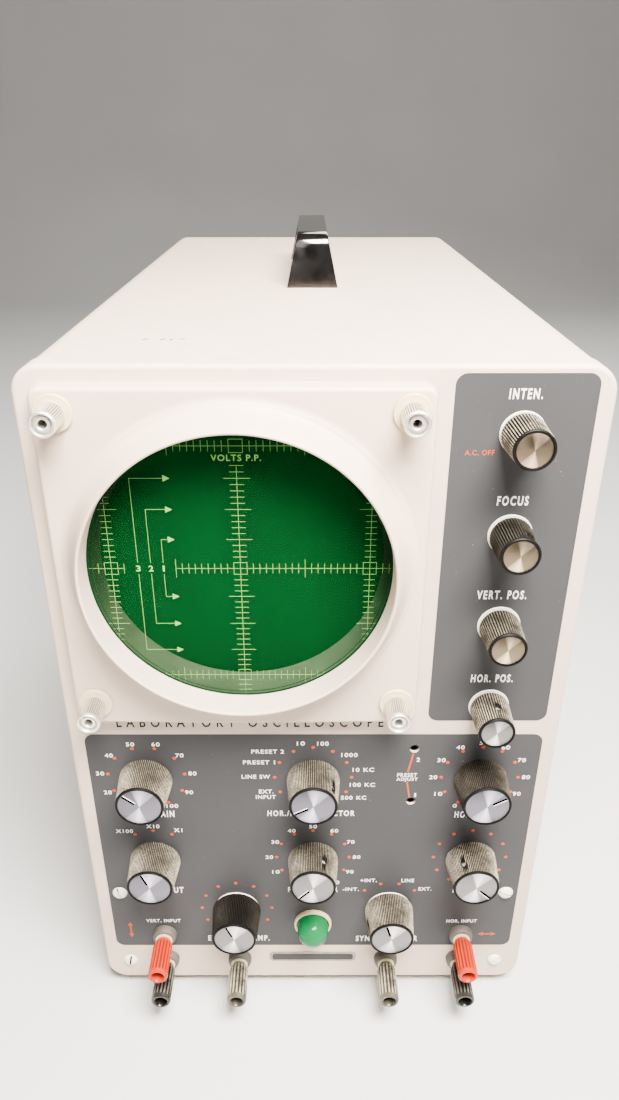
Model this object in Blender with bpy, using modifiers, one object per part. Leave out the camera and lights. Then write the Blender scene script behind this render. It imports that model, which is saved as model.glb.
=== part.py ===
"""Bench oscilloscope with a five-inch round screen: an assembly of separate parts.

Frame: metres, +Z up, the front panel faces -Y, +X is to the right seen from the front.
The origin lies on the floor plane under the middle of the whole object's box.
Places on the instrument are given from three datums: x from its middle plane, z from
the cabinet's lower edge, and y as the depth behind the front panel's face.
"""

import math

import bmesh
import bpy
from mathutils import Matrix, Vector

# Overall size
WIDTH = 0.2190
HEIGHT = 0.3330
DEPTH = 0.4060
FOOT_HEIGHT = 0.0060
POST_REACH = 0.0255
GLAND_REACH = 0.0090
FACE_Y = -(POST_REACH + DEPTH + GLAND_REACH) / 2 + POST_REACH
GAP = 0.0003

# Cabinet and front panel
SHEET = 0.0012
PANEL_SHEET = 0.0015
PANEL_DEPTH = 0.0120
PANEL_LIP = 0.0004
CORNER_RADIUS = 0.0110
PANEL_EDGE_RADIUS = 0.0020

# Louvres pressed in the cabinet's sides
LOUVRE_COUNT = 9
LOUVRE_START = 0.0780
LOUVRE_PITCH = 0.0140
LOUVRE_HEIGHT = 0.0520
LOUVRE_REACH = 0.0016
LOUVRE_ROWS = (0.0500, 0.2920)

# Screen, bezel and cathode-ray tube
SCREEN_X = -0.0288
SCREEN_Z = 0.2542
BEZEL_SIZE = 0.1460
BEZEL_DEPTH = 0.0080
BEZEL_SHEET = 0.0016
OPENING_RADIUS = 0.0593
LIP_RADIUS = 0.0610
FLARE_RADIUS = 0.0705
LIP_REACH = 0.0210
GRATICULE_RADIUS = 0.0625
GRATICULE_THICKNESS = 0.0030
TUBE_RADIUS = 0.0662
NUT_SPACING = 0.1280
NUT_RADIUS = 0.0048
NUT_REACH = 0.0224
WASHER_RADIUS = 0.0072
STUD_RADIUS = 0.0019

# Knobs: a wide one for the lower panel and a narrow one for the upper panel
KNOB_REACH = 0.0195
KNOB_LIFT = 0.0012
WIDE_KNOB = (0.0122, 0.0109)
NARROW_KNOB = (0.0085, 0.0078)
SHAFT_RADIUS = 0.00318
SHAFT_HOLE = 0.0044
SHAFT_DEPTH = 0.0200
SIDE_COLUMN = 0.0770
MIDDLE_COLUMN = 0.0387
TOP_ROW = 0.1414
SECOND_ROW = 0.0900
LOW_ROW = 0.0540
NARROW_KNOB_TOP = 0.3079
NARROW_KNOB_PITCH = 0.0418
KNOBS = {
    "knob_intensity": (SIDE_COLUMN, NARROW_KNOB_TOP, NARROW_KNOB),
    "knob_focus": (SIDE_COLUMN, NARROW_KNOB_TOP - NARROW_KNOB_PITCH, NARROW_KNOB),
    "knob_vertical_position": (SIDE_COLUMN, NARROW_KNOB_TOP - 2 * NARROW_KNOB_PITCH, NARROW_KNOB),
    "knob_horizontal_position": (SIDE_COLUMN, NARROW_KNOB_TOP - 3 * NARROW_KNOB_PITCH, NARROW_KNOB),
    "knob_vertical_gain": (-SIDE_COLUMN, TOP_ROW, WIDE_KNOB),
    "knob_frequency_selector": (0.0, TOP_ROW, WIDE_KNOB),
    "knob_horizontal_gain": (SIDE_COLUMN, TOP_ROW, WIDE_KNOB),
    "knob_input_attenuator": (-SIDE_COLUMN, SECOND_ROW, WIDE_KNOB),
    "knob_frequency_vernier": (0.0, SECOND_ROW, WIDE_KNOB),
    "knob_phase": (SIDE_COLUMN, SECOND_ROW, WIDE_KNOB),
    "knob_sync_amplitude": (-MIDDLE_COLUMN, LOW_ROW, WIDE_KNOB),
    "knob_sync_selector": (MIDDLE_COLUMN, LOW_ROW, WIDE_KNOB),
}

# Binding posts, in two rows at the standard three-quarter-inch spacing
POST_PITCH = 0.01905
POST_LOW_ROW = 0.0156
COLLAR_RADIUS = 0.0061
COLLAR_REACH = 0.0042
CAP_RADIUS = 0.0050
CAP_BORE = 0.0024
POST_STUD_RADIUS = 0.0020
POST_HOLE = 0.0038
POSTS = {
    "vertical_signal": (-SIDE_COLUMN, POST_LOW_ROW + POST_PITCH, "red_plastic"),
    "vertical_ground": (-SIDE_COLUMN, POST_LOW_ROW, "black_plastic"),
    "sync": (-MIDDLE_COLUMN, POST_LOW_ROW, "black_plastic"),
    "test_signal": (MIDDLE_COLUMN, POST_LOW_ROW, "black_plastic"),
    "horizontal_signal": (SIDE_COLUMN, POST_LOW_ROW + POST_PITCH, "red_plastic"),
    "horizontal_ground": (SIDE_COLUMN, POST_LOW_ROW, "black_plastic"),
}

# Small front hardware
PILOT_Z = 0.0427
PILOT_RING_RADIUS = 0.0096
PILOT_RING_REACH = 0.0025
PILOT_HOLE = 0.0083
LENS_RADIUS = 0.0079
LENS_DOME_START = 0.0054
PRESET_X = 0.0460
PRESET_Z = (0.1266, 0.1582)
PRESET_HOLE = 0.0021
PRESET_SHAFT = 0.0015
SCREW_HEAD_RADIUS = 0.0037
SCREW_HEAD_HEIGHT = 0.0022
SCREW_SHANK = 0.0014
FRONT_SCREWS = {
    "screw_left_middle": (-0.0974, 0.0652),
    "screw_right_middle": (0.0974, 0.0652),
    "screw_left_bottom": (-0.0969, 0.0142),
    "screw_right_bottom": (0.0969, 0.0142),
}

# Handle, feet and cord inlet
HANDLE_FRONT_Y = 0.1660
HANDLE_REAR_Y = 0.2790
HANDLE_RISE = 0.0275
HANDLE_DROP = 0.0055
HANDLE_STRAP = 0.0024
HANDLE_BASE_WIDTH = 0.0273
HANDLE_TOP_WIDTH = 0.0160
HANDLE_BEND = 0.0050
FOOT_RADIUS = 0.0095
FOOT_X = 0.0850
FOOT_Y = (0.0400, 0.3660)
GLAND_X = 0.0700
GLAND_Z = 0.0500
GLAND_HOLE = 0.0062
GLAND_BORE = 0.0036

# Works inside the cabinet
DECK_Z = 0.1300
DECK_SHEET = 0.0015
DECK_FRONT = 0.0450
DECK_SIZE = (0.2040, 0.3500, 0.0500)
BOARD_SIZE = (0.1500, 0.1700, 0.0016)
TRANSFORMER_SIZE = (0.0760, 0.0680, 0.0800)
CAPACITOR_RADIUS = 0.0175
CAPACITOR_HEIGHT = 0.0750
VALVE_RADIUS = 0.0105
VALVE_HEIGHT = 0.0550
VALVES = {"valve_vertical": (-0.0820, 0.2050), "valve_sweep": (0.0600, 0.2050), "valve_sync": (0.0600, 0.2600)}

# Control brackets behind the panel: the plates that carry the potentiometers and switches
BRACKET_SHEET = 0.0020
BRACKET_OFFSET = 0.0040
CAN_DEPTH = 0.0140
CAN_RADIUS = {WIDE_KNOB: 0.0115, NARROW_KNOB: 0.0085}
BRACKETS = {
    "upper_control_bracket": (0.0660, 0.0960, 0.1720, 0.3200),
    "lower_control_bracket": (-0.0930, 0.0930, 0.0525, 0.1660),
}
SPACERS = {
    "upper_control_bracket": [(0.0920, 0.1780), (0.0920, 0.2870)],
    "lower_control_bracket": [(-0.0895, 0.1150), (0.0895, 0.1150), (-0.0220, 0.0720), (0.0220, 0.0720)],
}

FACING = {
    "front": (math.radians(90), 0.0, 0.0),
    "back": (math.radians(-90), 0.0, 0.0),
    "up": (0.0, 0.0, 0.0),
    "left": (0.0, math.radians(-90), 0.0),
    "right": (0.0, math.radians(90), 0.0),
}

COLOURS = {
    "light_paint": ((0.62, 0.58, 0.54), 0.45, 0.0),
    "dark_steel": ((0.20, 0.20, 0.20), 0.45, 0.6),
    "plated_steel": ((0.75, 0.75, 0.74), 0.25, 1.0),
    "bright_nickel": ((0.85, 0.84, 0.80), 0.20, 1.0),
    "chrome": ((0.70, 0.70, 0.70), 0.08, 1.0),
    "knob_black": ((0.03, 0.03, 0.03), 0.55, 0.0),
    "black_plastic": ((0.03, 0.03, 0.03), 0.30, 0.0),
    "red_plastic": ((0.78, 0.14, 0.06), 0.30, 0.0),
    "collar_grey": ((0.10, 0.09, 0.08), 0.60, 0.0),
    "green_filter": ((0.00, 0.22, 0.05), 0.15, 0.0),
    "green_jewel": ((0.00, 0.55, 0.25), 0.10, 0.0),
    "cream_ring": ((0.75, 0.66, 0.50), 0.35, 0.0),
    "clear_glass": ((0.55, 0.60, 0.58), 0.08, 0.0),
    "shield_metal": ((0.45, 0.45, 0.44), 0.35, 1.0),
    "board_brown": ((0.35, 0.20, 0.08), 0.60, 0.0),
    "core_black": ((0.04, 0.04, 0.04), 0.60, 0.0),
    "aluminium_can": ((0.70, 0.70, 0.70), 0.30, 1.0),
    "rubber": ((0.02, 0.02, 0.02), 0.85, 0.0),
}


def at(x, z, y=0.0):
    """World place of a point x across, z above the cabinet's lower edge and y behind the panel face."""
    return Vector((x, FACE_Y + y, FOOT_HEIGHT + z))


def new_collection(name):
    collection = bpy.data.collections.new(name)
    bpy.context.scene.collection.children.link(collection)
    return collection


def material(name):
    """The named paint, metal, glass or plastic, made once."""
    if name in bpy.data.materials:
        return bpy.data.materials[name]
    colour, roughness, metallic = COLOURS[name]
    made = bpy.data.materials.new(name)
    made.use_nodes = True
    shader = made.node_tree.nodes["Principled BSDF"]
    shader.inputs["Base Color"].default_value = (*colour, 1.0)
    shader.inputs["Roughness"].default_value = roughness
    shader.inputs["Metallic"].default_value = metallic
    return made


def add_object(name, mesh, slot=None):
    """An object in the part's collection, or a hidden cutter where it has no material."""
    made = bpy.data.objects.new(name, mesh)
    if slot:
        PARTS.objects.link(made)
        mesh.materials.append(material(slot))
    else:
        CUTTERS.objects.link(made)
        made.hide_render = True
        made.display_type = "WIRE"
    return made


def box_mesh(name, boxes):
    """One mesh of boxes, each given by its middle and its size."""
    shape = bmesh.new()
    for middle, size in boxes:
        place = Matrix.Translation(middle) @ Matrix.Diagonal((*size, 1.0))
        bmesh.ops.create_cube(shape, size=1.0, matrix=place)
    mesh = bpy.data.meshes.new(name)
    shape.to_mesh(mesh)
    shape.free()
    return mesh


def rod_mesh(name, rods, steps=16, turn=Matrix.Rotation(math.radians(90), 4, "X")):
    """One mesh of closed cylinders, each given by its middle, radius and length, along Y unless turned."""
    shape = bmesh.new()
    for middle, radius, length in rods:
        bmesh.ops.create_cone(
            shape,
            cap_ends=True,
            segments=steps,
            radius1=radius,
            radius2=radius,
            depth=length,
            matrix=Matrix.Translation(middle) @ turn,
        )
    mesh = bpy.data.meshes.new(name)
    shape.to_mesh(mesh)
    shape.free()
    return mesh


def combine(target, tool, operation="DIFFERENCE"):
    change = target.modifiers.new(f"{operation.title()} {tool.name}", "BOOLEAN")
    change.operation = operation
    change.object = tool


def turned(name, profile, place, slot, facing="front", steps=24, ring=False):
    """A turned piece from (radius, height) points, its outer side run from top to bottom."""
    points = [(radius, 0.0, height) for radius, height in profile]
    edges = [(i, i + 1) for i in range(len(points) - 1)]
    if ring:
        edges.append((len(points) - 1, 0))
    mesh = bpy.data.meshes.new(name)
    mesh.from_pydata(points, edges, [])
    made = add_object(name, mesh, slot)
    made.location = place
    made.rotation_euler = FACING[facing]
    turn = made.modifiers.new("Turn", "SCREW")
    turn.steps = steps
    turn.render_steps = steps
    turn.use_merge_vertices = True
    turn.merge_threshold = 0.00001
    turn.use_smooth_shade = True
    return made


def arc(centre, radius, first, last, count):
    """Points (radius, height) on an arc, angles in degrees from the outward radius direction."""
    points = []
    for i in range(count):
        angle = math.radians(first + (last - first) * i / (count - 1))
        points.append((centre[0] + radius * math.cos(angle), centre[1] + radius * math.sin(angle)))
    return points


def round_edges(shape, edges, radius, segments):
    bmesh.ops.bevel(
        shape,
        geom=edges,
        offset=radius,
        segments=segments,
        profile=0.5,
        affect="EDGES",
        clamp_overlap=True,
    )


def pan_mesh(name, size, corner, edge, corner_steps, edge_steps, open_front=False):
    """A rounded box open at its back, for a sheet-metal pan or tube; its face is at y = 0."""
    width, depth, height = size
    shape = bmesh.new()
    place = Matrix.Translation((0.0, depth / 2, height / 2)) @ Matrix.Diagonal((width, depth, height, 1.0))
    bmesh.ops.create_cube(shape, size=1.0, matrix=place)
    along = [e for e in shape.edges if abs(e.verts[0].co.y - e.verts[1].co.y) > depth / 2]
    round_edges(shape, along, corner, corner_steps)
    back = [f for f in shape.faces if f.normal.y > 0.9]
    bmesh.ops.delete(shape, geom=back, context="FACES")
    front = [f for f in shape.faces if f.normal.y < -0.9]
    if open_front:
        bmesh.ops.delete(shape, geom=front, context="FACES")
    else:
        rim = [e for f in front for e in f.edges]
        round_edges(shape, rim, edge, edge_steps)
    mesh = bpy.data.meshes.new(name)
    shape.to_mesh(mesh)
    shape.free()
    return mesh


def thicken(made, thickness):
    """Sheet thickness added to the inside of an open surface."""
    sheet = made.modifiers.new("Sheet", "SOLIDIFY")
    sheet.thickness = thickness
    sheet.offset = -1.0
    sheet.use_even_offset = True
    return made


def build_cabinet():
    """The painted wrap: top, sides and bottom in one rounded tube, with vents and handle slots."""
    length = DEPTH - PANEL_DEPTH - GAP
    size = (WIDTH, length, HEIGHT)
    shell = add_object("cabinet_shell", pan_mesh("cabinet_shell", size, CORNER_RADIUS, 0, 5, 0, True), "light_paint")
    shell.location = at(0.0, 0.0, PANEL_DEPTH + GAP)
    thicken(shell, SHEET)

    slots, lips = [], []
    for z in LOUVRE_ROWS:
        for i in range(LOUVRE_COUNT):
            y = LOUVRE_START + i * LOUVRE_PITCH
            slots.append((at(0.0, z, y + 0.0035), (WIDTH + 0.0200, 0.0034, LOUVRE_HEIGHT - 0.0040)))
            for side in (-1, 1):
                x = side * (WIDTH / 2 + (LOUVRE_REACH - SHEET / 2) / 2)
                lips.append((at(x, z, y), (LOUVRE_REACH + SHEET / 2, 0.0030, LOUVRE_HEIGHT)))
    combine(shell, add_object("louvre_slot_cutter", box_mesh("louvre_slot_cutter", slots)))
    combine(shell, add_object("louvre_lips", box_mesh("louvre_lips", lips)), "UNION")

    openings = []
    for y in (HANDLE_FRONT_Y, HANDLE_REAR_Y):
        openings.append((at(0.0, HEIGHT, y), (HANDLE_BASE_WIDTH + 0.0020, HANDLE_STRAP + 0.0012, 0.0100)))
    combine(shell, add_object("handle_slot_cutter", box_mesh("handle_slot_cutter", openings)))

    foot_holes = [(at(side * FOOT_X, 0.0, y), 0.0022, 0.0100) for side in (-1, 1) for y in FOOT_Y]
    drill = rod_mesh("foot_hole_cutter", foot_holes, 12, Matrix.Identity(4))
    combine(shell, add_object("foot_hole_cutter", drill))
    return shell


def build_front_panel():
    """The face pan, drilled for the tube, controls, posts and lamp, with four bezel studs pressed in."""
    size = (WIDTH + 2 * PANEL_LIP, PANEL_DEPTH, HEIGHT + 2 * PANEL_LIP)
    mesh = pan_mesh("front_panel", size, CORNER_RADIUS, PANEL_EDGE_RADIUS, 5, 2)
    panel = add_object("front_panel", mesh, "light_paint")
    panel.location = at(0.0, -PANEL_LIP)
    thicken(panel, PANEL_SHEET)

    reach = 0.0200
    tube = [(at(SCREEN_X, SCREEN_Z), TUBE_RADIUS + 0.0020, reach)]
    combine(panel, add_object("tube_cutter", rod_mesh("tube_cutter", tube, 40)))

    holes = [(at(x, z), SHAFT_HOLE, reach) for x, z, _ in KNOBS.values()]
    holes += [(at(x, z), POST_HOLE, reach) for x, z, _ in POSTS.values()]
    holes += [(at(PRESET_X, z), PRESET_HOLE, reach) for z in PRESET_Z]
    holes += [(at(x, z), SCREW_SHANK + 0.0004, reach) for x, z in FRONT_SCREWS.values()]
    holes.append((at(0.0, PILOT_Z), PILOT_HOLE, reach))
    combine(panel, add_object("control_cutter", rod_mesh("control_cutter", holes, 10)))

    stud_length = 0.0160
    studs = [(at(x, z, -stud_length / 2 + 0.0010), STUD_RADIUS, stud_length) for x, z in nut_places()]
    combine(panel, add_object("bezel_studs", rod_mesh("bezel_studs", studs, 8)), "UNION")
    return panel


def nut_places():
    half = NUT_SPACING / 2
    return [(SCREEN_X + sx * half, SCREEN_Z + sz * half) for sz in (1, -1) for sx in (-1, 1)]


def flare(radius):
    """Height of the bezel's front surface above the panel face at a radius from the screen's centre."""
    share = (FLARE_RADIUS - radius) / (FLARE_RADIUS - LIP_RADIUS)
    return BEZEL_DEPTH + (LIP_REACH - BEZEL_DEPTH) * max(0.0, share) ** 2.2


def build_bezel():
    """The pressed bezel: a square pan with a collar flaring forward round the opening."""
    size = (BEZEL_SIZE, BEZEL_DEPTH - GAP, BEZEL_SIZE)
    mesh = pan_mesh("crt_bezel", size, 0.0045, 0.0028, 3, 3)
    bezel = add_object("crt_bezel", mesh, "light_paint")
    bezel.location = at(SCREEN_X, SCREEN_Z - BEZEL_SIZE / 2, -BEZEL_DEPTH)
    thicken(bezel, BEZEL_SHEET)

    middle = at(SCREEN_X, SCREEN_Z, -BEZEL_DEPTH)
    hole = rod_mesh("bezel_cutter", [(middle, FLARE_RADIUS - 0.0008, 0.0300)], 48)
    combine(bezel, add_object("bezel_cutter", hole))

    flare_steps = 6
    radii = [LIP_RADIUS + (FLARE_RADIUS - LIP_RADIUS) * i / (flare_steps - 1) for i in range(flare_steps)]
    inset = 0.0001
    wall = 0.0014
    front = [(r, flare(r) - inset) for r in radii]
    back = [(r + 0.0001, flare(r) - BEZEL_SHEET + inset) for r in radii[2:]][::-1]
    profile = [(OPENING_RADIUS + 0.0008, LIP_REACH)]
    profile += front
    profile.append((FLARE_RADIUS + 0.0006, BEZEL_DEPTH - inset))
    profile.append((FLARE_RADIUS + 0.0006, BEZEL_DEPTH - BEZEL_SHEET + inset))
    profile += back
    profile.append((OPENING_RADIUS + wall, LIP_REACH - 0.0050))
    profile.append((OPENING_RADIUS + wall, BEZEL_DEPTH + GAP))
    profile.append((OPENING_RADIUS, BEZEL_DEPTH + GAP))
    profile.append((OPENING_RADIUS, LIP_REACH - 0.0006))
    collar = turned("bezel_collar", profile, at(SCREEN_X, SCREEN_Z), None, steps=48, ring=True)
    combine(bezel, collar, "UNION")

    holes = [(at(x, z, -BEZEL_DEPTH), STUD_RADIUS + 0.0006, 0.0100) for x, z in nut_places()]
    combine(bezel, add_object("stud_hole_cutter", rod_mesh("stud_hole_cutter", holes, 10)))
    return bezel


def build_screen():
    """Green graticule plate, cathode-ray tube, its shield and its socket."""
    front = BEZEL_DEPTH - GAP
    plate = [
        (0.0, front),
        (GRATICULE_RADIUS, front),
        (GRATICULE_RADIUS, front - GRATICULE_THICKNESS),
        (0.0, front - GRATICULE_THICKNESS),
    ]
    turned("graticule", plate, at(SCREEN_X, SCREEN_Z), "green_filter", steps=40)

    sag = 0.0042
    dome = [(TUBE_RADIUS * 0.94 * i / 4, -sag * (i / 4) ** 2) for i in range(5)]
    bulb = [(0.0, -0.3720), (0.0275, -0.3720), (0.0275, -0.3400), (0.0255, -0.3380), (0.0255, -0.1800)]
    bulb += [(0.0290, -0.1600), (0.0420, -0.1100), (0.0570, -0.0560), (0.0640, -0.0260), (0.0662, -0.0140)]
    bulb.append((0.0655, -0.0070))
    turned("cathode_ray_tube", dome + bulb[::-1], at(SCREEN_X, SCREEN_Z), "clear_glass", steps=26)

    clearance = 0.0024
    cone = [(0.0662, -0.0160), (0.0640, -0.0260), (0.0570, -0.0560), (0.0290, -0.1600), (0.0255, -0.1800)]
    cone.append((0.0255, -0.3000))
    inner = [(r + clearance, y) for r, y in cone]
    outer = [(r + clearance + SHEET, y) for r, y in cone]
    turned("crt_shield", outer + inner[::-1], at(SCREEN_X, SCREEN_Z), "shield_metal", steps=24, ring=True)

    socket = [(0.0, -0.3723), (0.0250, -0.3723), (0.0250, -0.3840), (0.0, -0.3840)]
    turned("crt_socket", socket, at(SCREEN_X, SCREEN_Z), "knob_black", steps=20)


def build_knobs():
    """Twelve knobs, each with the control shaft it is pinned to."""
    for name, (x, z, (base, face)) in KNOBS.items():
        profile = [
            (0.0, KNOB_REACH),
            (face - 0.0008, KNOB_REACH),
            (face, KNOB_REACH - 0.0010),
            (base, KNOB_LIFT + 0.0020),
            (base, KNOB_LIFT),
            (SHAFT_RADIUS, KNOB_LIFT),
            (SHAFT_RADIUS, -SHAFT_DEPTH),
            (0.0, -SHAFT_DEPTH),
        ]
        turned(name, profile, at(x, z), "knob_black", steps=18)


def build_posts():
    """Six binding posts, each a collar with its stud, and a screw-down cap."""
    for name, (x, z, slot) in POSTS.items():
        body = [
            (0.0, POST_REACH - 0.0050),
            (POST_STUD_RADIUS, POST_REACH - 0.0050),
            (POST_STUD_RADIUS, COLLAR_REACH),
            (COLLAR_RADIUS, COLLAR_REACH),
            (COLLAR_RADIUS, GAP),
            (POST_HOLE - GAP, GAP),
            (POST_HOLE - GAP, -0.0120),
            (0.0, -0.0120),
        ]
        turned(f"post_{name}", body, at(x, z), "collar_grey", steps=14)
        cap = [
            (CAP_RADIUS - 0.0005, POST_REACH),
            (CAP_RADIUS, POST_REACH - 0.0006),
            (CAP_RADIUS, COLLAR_REACH + 0.0030),
            (CAP_RADIUS - 0.0016, COLLAR_REACH + 0.0006),
            (CAP_BORE, COLLAR_REACH + 0.0006),
            (CAP_BORE, POST_REACH),
        ]
        turned(f"cap_{name}", cap, at(x, z), slot, steps=16, ring=True)


def build_thumb_nuts():
    """Four knurled thumb nuts with their washers, holding the bezel."""
    names = ("top_left", "top_right", "bottom_left", "bottom_right")
    seat = BEZEL_DEPTH + GAP
    bore = STUD_RADIUS + 0.0004
    for name, (x, z) in zip(names, nut_places()):
        profile = [
            (NUT_RADIUS, NUT_REACH),
            (NUT_RADIUS, seat + 0.0012),
            (WASHER_RADIUS, seat + 0.0012),
            (WASHER_RADIUS, seat),
            (bore, seat),
            (bore, NUT_REACH - 0.0040),
            (NUT_RADIUS - 0.0016, NUT_REACH - 0.0026),
            (NUT_RADIUS - 0.0016, NUT_REACH),
        ]
        turned(f"thumb_nut_{name}", profile, at(x, z), "bright_nickel", steps=16, ring=True)


def build_pilot_lamp():
    """The lamp's holder with its cream ring, the green jewel and the bulb behind it."""
    holder = [
        (PILOT_RING_RADIUS, PILOT_RING_REACH),
        (PILOT_RING_RADIUS, GAP),
        (PILOT_HOLE - GAP, GAP),
        (PILOT_HOLE - GAP, -0.0240),
        (0.0070, -0.0240),
        (0.0070, -0.0010),
        (LENS_RADIUS + GAP, -0.0010),
        (LENS_RADIUS + GAP, PILOT_RING_REACH),
    ]
    turned("pilot_holder", holder, at(0.0, PILOT_Z), "cream_ring", steps=20, ring=True)
    wall = 0.0012
    skirt = -0.0005
    dome = arc((0.0, LENS_DOME_START), LENS_RADIUS, 90, 0, 6)
    hollow = arc((0.0, LENS_DOME_START), LENS_RADIUS - wall, 0, 90, 4)
    lens = dome + [(LENS_RADIUS, skirt), (LENS_RADIUS - wall, skirt)] + hollow
    turned("pilot_jewel", lens, at(0.0, PILOT_Z), "green_jewel", steps=20)
    bulb = arc((0.0, 0.0030), 0.0044, 90, 0, 4) + [(0.0044, -0.0200), (0.0, -0.0200)]
    turned("pilot_bulb", bulb, at(0.0, PILOT_Z), "clear_glass", steps=12)


def build_fasteners():
    """Pan-head screws on the front, and the two screwdriver-set preset shafts."""
    for name, (x, z) in FRONT_SCREWS.items():
        head = [(0.0, SCREW_HEAD_HEIGHT), (0.0020, SCREW_HEAD_HEIGHT - 0.0002), (0.0032, SCREW_HEAD_HEIGHT - 0.0009)]
        head += [(SCREW_HEAD_RADIUS, GAP), (SCREW_SHANK, GAP), (SCREW_SHANK, -0.0080), (0.0, -0.0080)]
        turned(name, head, at(x, z), "plated_steel", steps=14)
    for number, z in enumerate(PRESET_Z, 1):
        shaft = [(0.0, -0.0010), (PRESET_SHAFT, -0.0010), (PRESET_SHAFT, -0.0180), (0.0, -0.0180)]
        turned(f"preset_shaft_{number}", shaft, at(PRESET_X, z), "bright_nickel", steps=12)


def handle_path():
    """Middle line of the strap in the side view: up through the top, along, and down again."""
    low = HEIGHT - HANDLE_DROP
    high = HEIGHT + HANDLE_RISE - HANDLE_STRAP / 2
    lean = 0.0020
    front = HANDLE_FRONT_Y + lean + HANDLE_BEND
    rear = HANDLE_REAR_Y - lean - HANDLE_BEND
    points = [(HANDLE_FRONT_Y, low), (HANDLE_FRONT_Y, HEIGHT + 0.0015)]
    points += [(y, z) for y, z in arc((front, high - HANDLE_BEND), HANDLE_BEND, 180, 90, 6)]
    points += [(y, z) for y, z in arc((rear, high - HANDLE_BEND), HANDLE_BEND, 90, 0, 6)]
    points += [(HANDLE_REAR_Y, HEIGHT + 0.0015), (HANDLE_REAR_Y, low)]
    return points


def build_handle():
    """A chromed strap handle, wide where it enters the top and narrow along the grip."""
    mesh = bpy.data.meshes.new("carrying_handle")
    points, faces = [], []
    path = handle_path()
    rise = HANDLE_RISE - HANDLE_STRAP / 2
    for i, (y, z) in enumerate(path):
        share = min(1.0, max(0.0, (z - HEIGHT) / rise))
        half = (HANDLE_BASE_WIDTH + (HANDLE_TOP_WIDTH - HANDLE_BASE_WIDTH) * share) / 2
        points += [at(-half, z, y), at(half, z, y)]
        if i:
            faces.append((2 * i - 2, 2 * i - 1, 2 * i + 1, 2 * i))
    mesh.from_pydata(points, [], faces)
    handle = add_object("carrying_handle", mesh, "chrome")
    strap = handle.modifiers.new("Strap", "SOLIDIFY")
    strap.thickness = HANDLE_STRAP
    strap.offset = 0.0
    strap.use_even_offset = True


def build_feet_and_gland():
    """Four rubber feet under the cabinet and the cord's gland in the rear panel."""
    corners = ("front", "rear")
    for side, sign in (("left", -1), ("right", 1)):
        for corner, y in zip(corners, FOOT_Y):
            foot = [
                (0.0, FOOT_HEIGHT + 0.0040),
                (0.0018, FOOT_HEIGHT + 0.0040),
                (0.0018, FOOT_HEIGHT - GAP),
                (FOOT_RADIUS, FOOT_HEIGHT - GAP),
                (FOOT_RADIUS - 0.0015, 0.0),
                (0.0, 0.0),
            ]
            place = at(sign * FOOT_X, -FOOT_HEIGHT, y)
            turned(f"foot_{corner}_{side}", foot, place, "rubber", "up", 16)
    gland = [
        (GLAND_BORE + 0.0012, GLAND_REACH),
        (GLAND_HOLE + 0.0012, GLAND_REACH - 0.0030),
        (GLAND_HOLE + 0.0022, GAP),
        (GLAND_HOLE - GAP, GAP),
        (GLAND_HOLE - GAP, -0.0060),
        (GLAND_BORE, -0.0060),
        (GLAND_BORE, GLAND_REACH),
    ]
    turned("cord_gland", gland, at(GLAND_X, GLAND_Z, DEPTH), "rubber", "back", 16, True)


def build_rear_panel():
    """The rear plate inside the cabinet's back edge, with ventilation slots and the gland's hole."""
    inset = SHEET + GAP
    size = (WIDTH - 2 * inset, PANEL_SHEET, HEIGHT - 2 * inset)
    shape = bmesh.new()
    place = Matrix.Translation(at(0.0, HEIGHT / 2, DEPTH - PANEL_SHEET / 2)) @ Matrix.Diagonal((*size, 1.0))
    bmesh.ops.create_cube(shape, size=1.0, matrix=place)
    along = [e for e in shape.edges if abs(e.verts[0].co.y - e.verts[1].co.y) > PANEL_SHEET / 2]
    round_edges(shape, along, CORNER_RADIUS - SHEET, 4)
    mesh = bpy.data.meshes.new("rear_panel")
    shape.to_mesh(mesh)
    shape.free()
    panel = add_object("rear_panel", mesh, "light_paint")
    slots = []
    for row in range(6):
        for column in (-1, 0, 1):
            middle = at(column * 0.0560, 0.2100 + row * 0.0160, DEPTH - PANEL_SHEET / 2)
            slots.append((middle, (0.0420, 0.0100, 0.0050)))
    combine(panel, add_object("slot_cutter", box_mesh("slot_cutter", slots)))
    hole = [(at(GLAND_X, GLAND_Z, DEPTH - PANEL_SHEET / 2), GLAND_HOLE, 0.0100)]
    combine(panel, add_object("gland_cutter", rod_mesh("gland_cutter", hole, 16)))


def build_brackets():
    """Two plates behind the panel, each in one piece with the control bodies it carries."""
    front = SHAFT_DEPTH + GAP
    plate_y = front + BRACKET_OFFSET + BRACKET_SHEET / 2
    for name, (left, right, low, high) in BRACKETS.items():
        middle = at((left + right) / 2, (low + high) / 2, plate_y)
        size = (right - left, BRACKET_SHEET, high - low)
        bracket = add_object(name, box_mesh(name, [(middle, size)]), "plated_steel")
        cans = []
        for x, z, knob in KNOBS.values():
            if left < x < right and low < z < high:
                cans.append((at(x, z, front + CAN_DEPTH / 2), CAN_RADIUS[knob], CAN_DEPTH))
        combine(bracket, add_object(f"{name}_cans", rod_mesh(f"{name}_cans", cans, 10)), "UNION")
        rear = plate_y - BRACKET_SHEET / 4
        length = rear - PANEL_SHEET - GAP
        spacers = [(at(x, z, rear - length / 2), 0.0020, length) for x, z in SPACERS[name]]
        combine(bracket, add_object(f"{name}_spacers", rod_mesh(f"{name}_spacers", spacers, 8)), "UNION")


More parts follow.
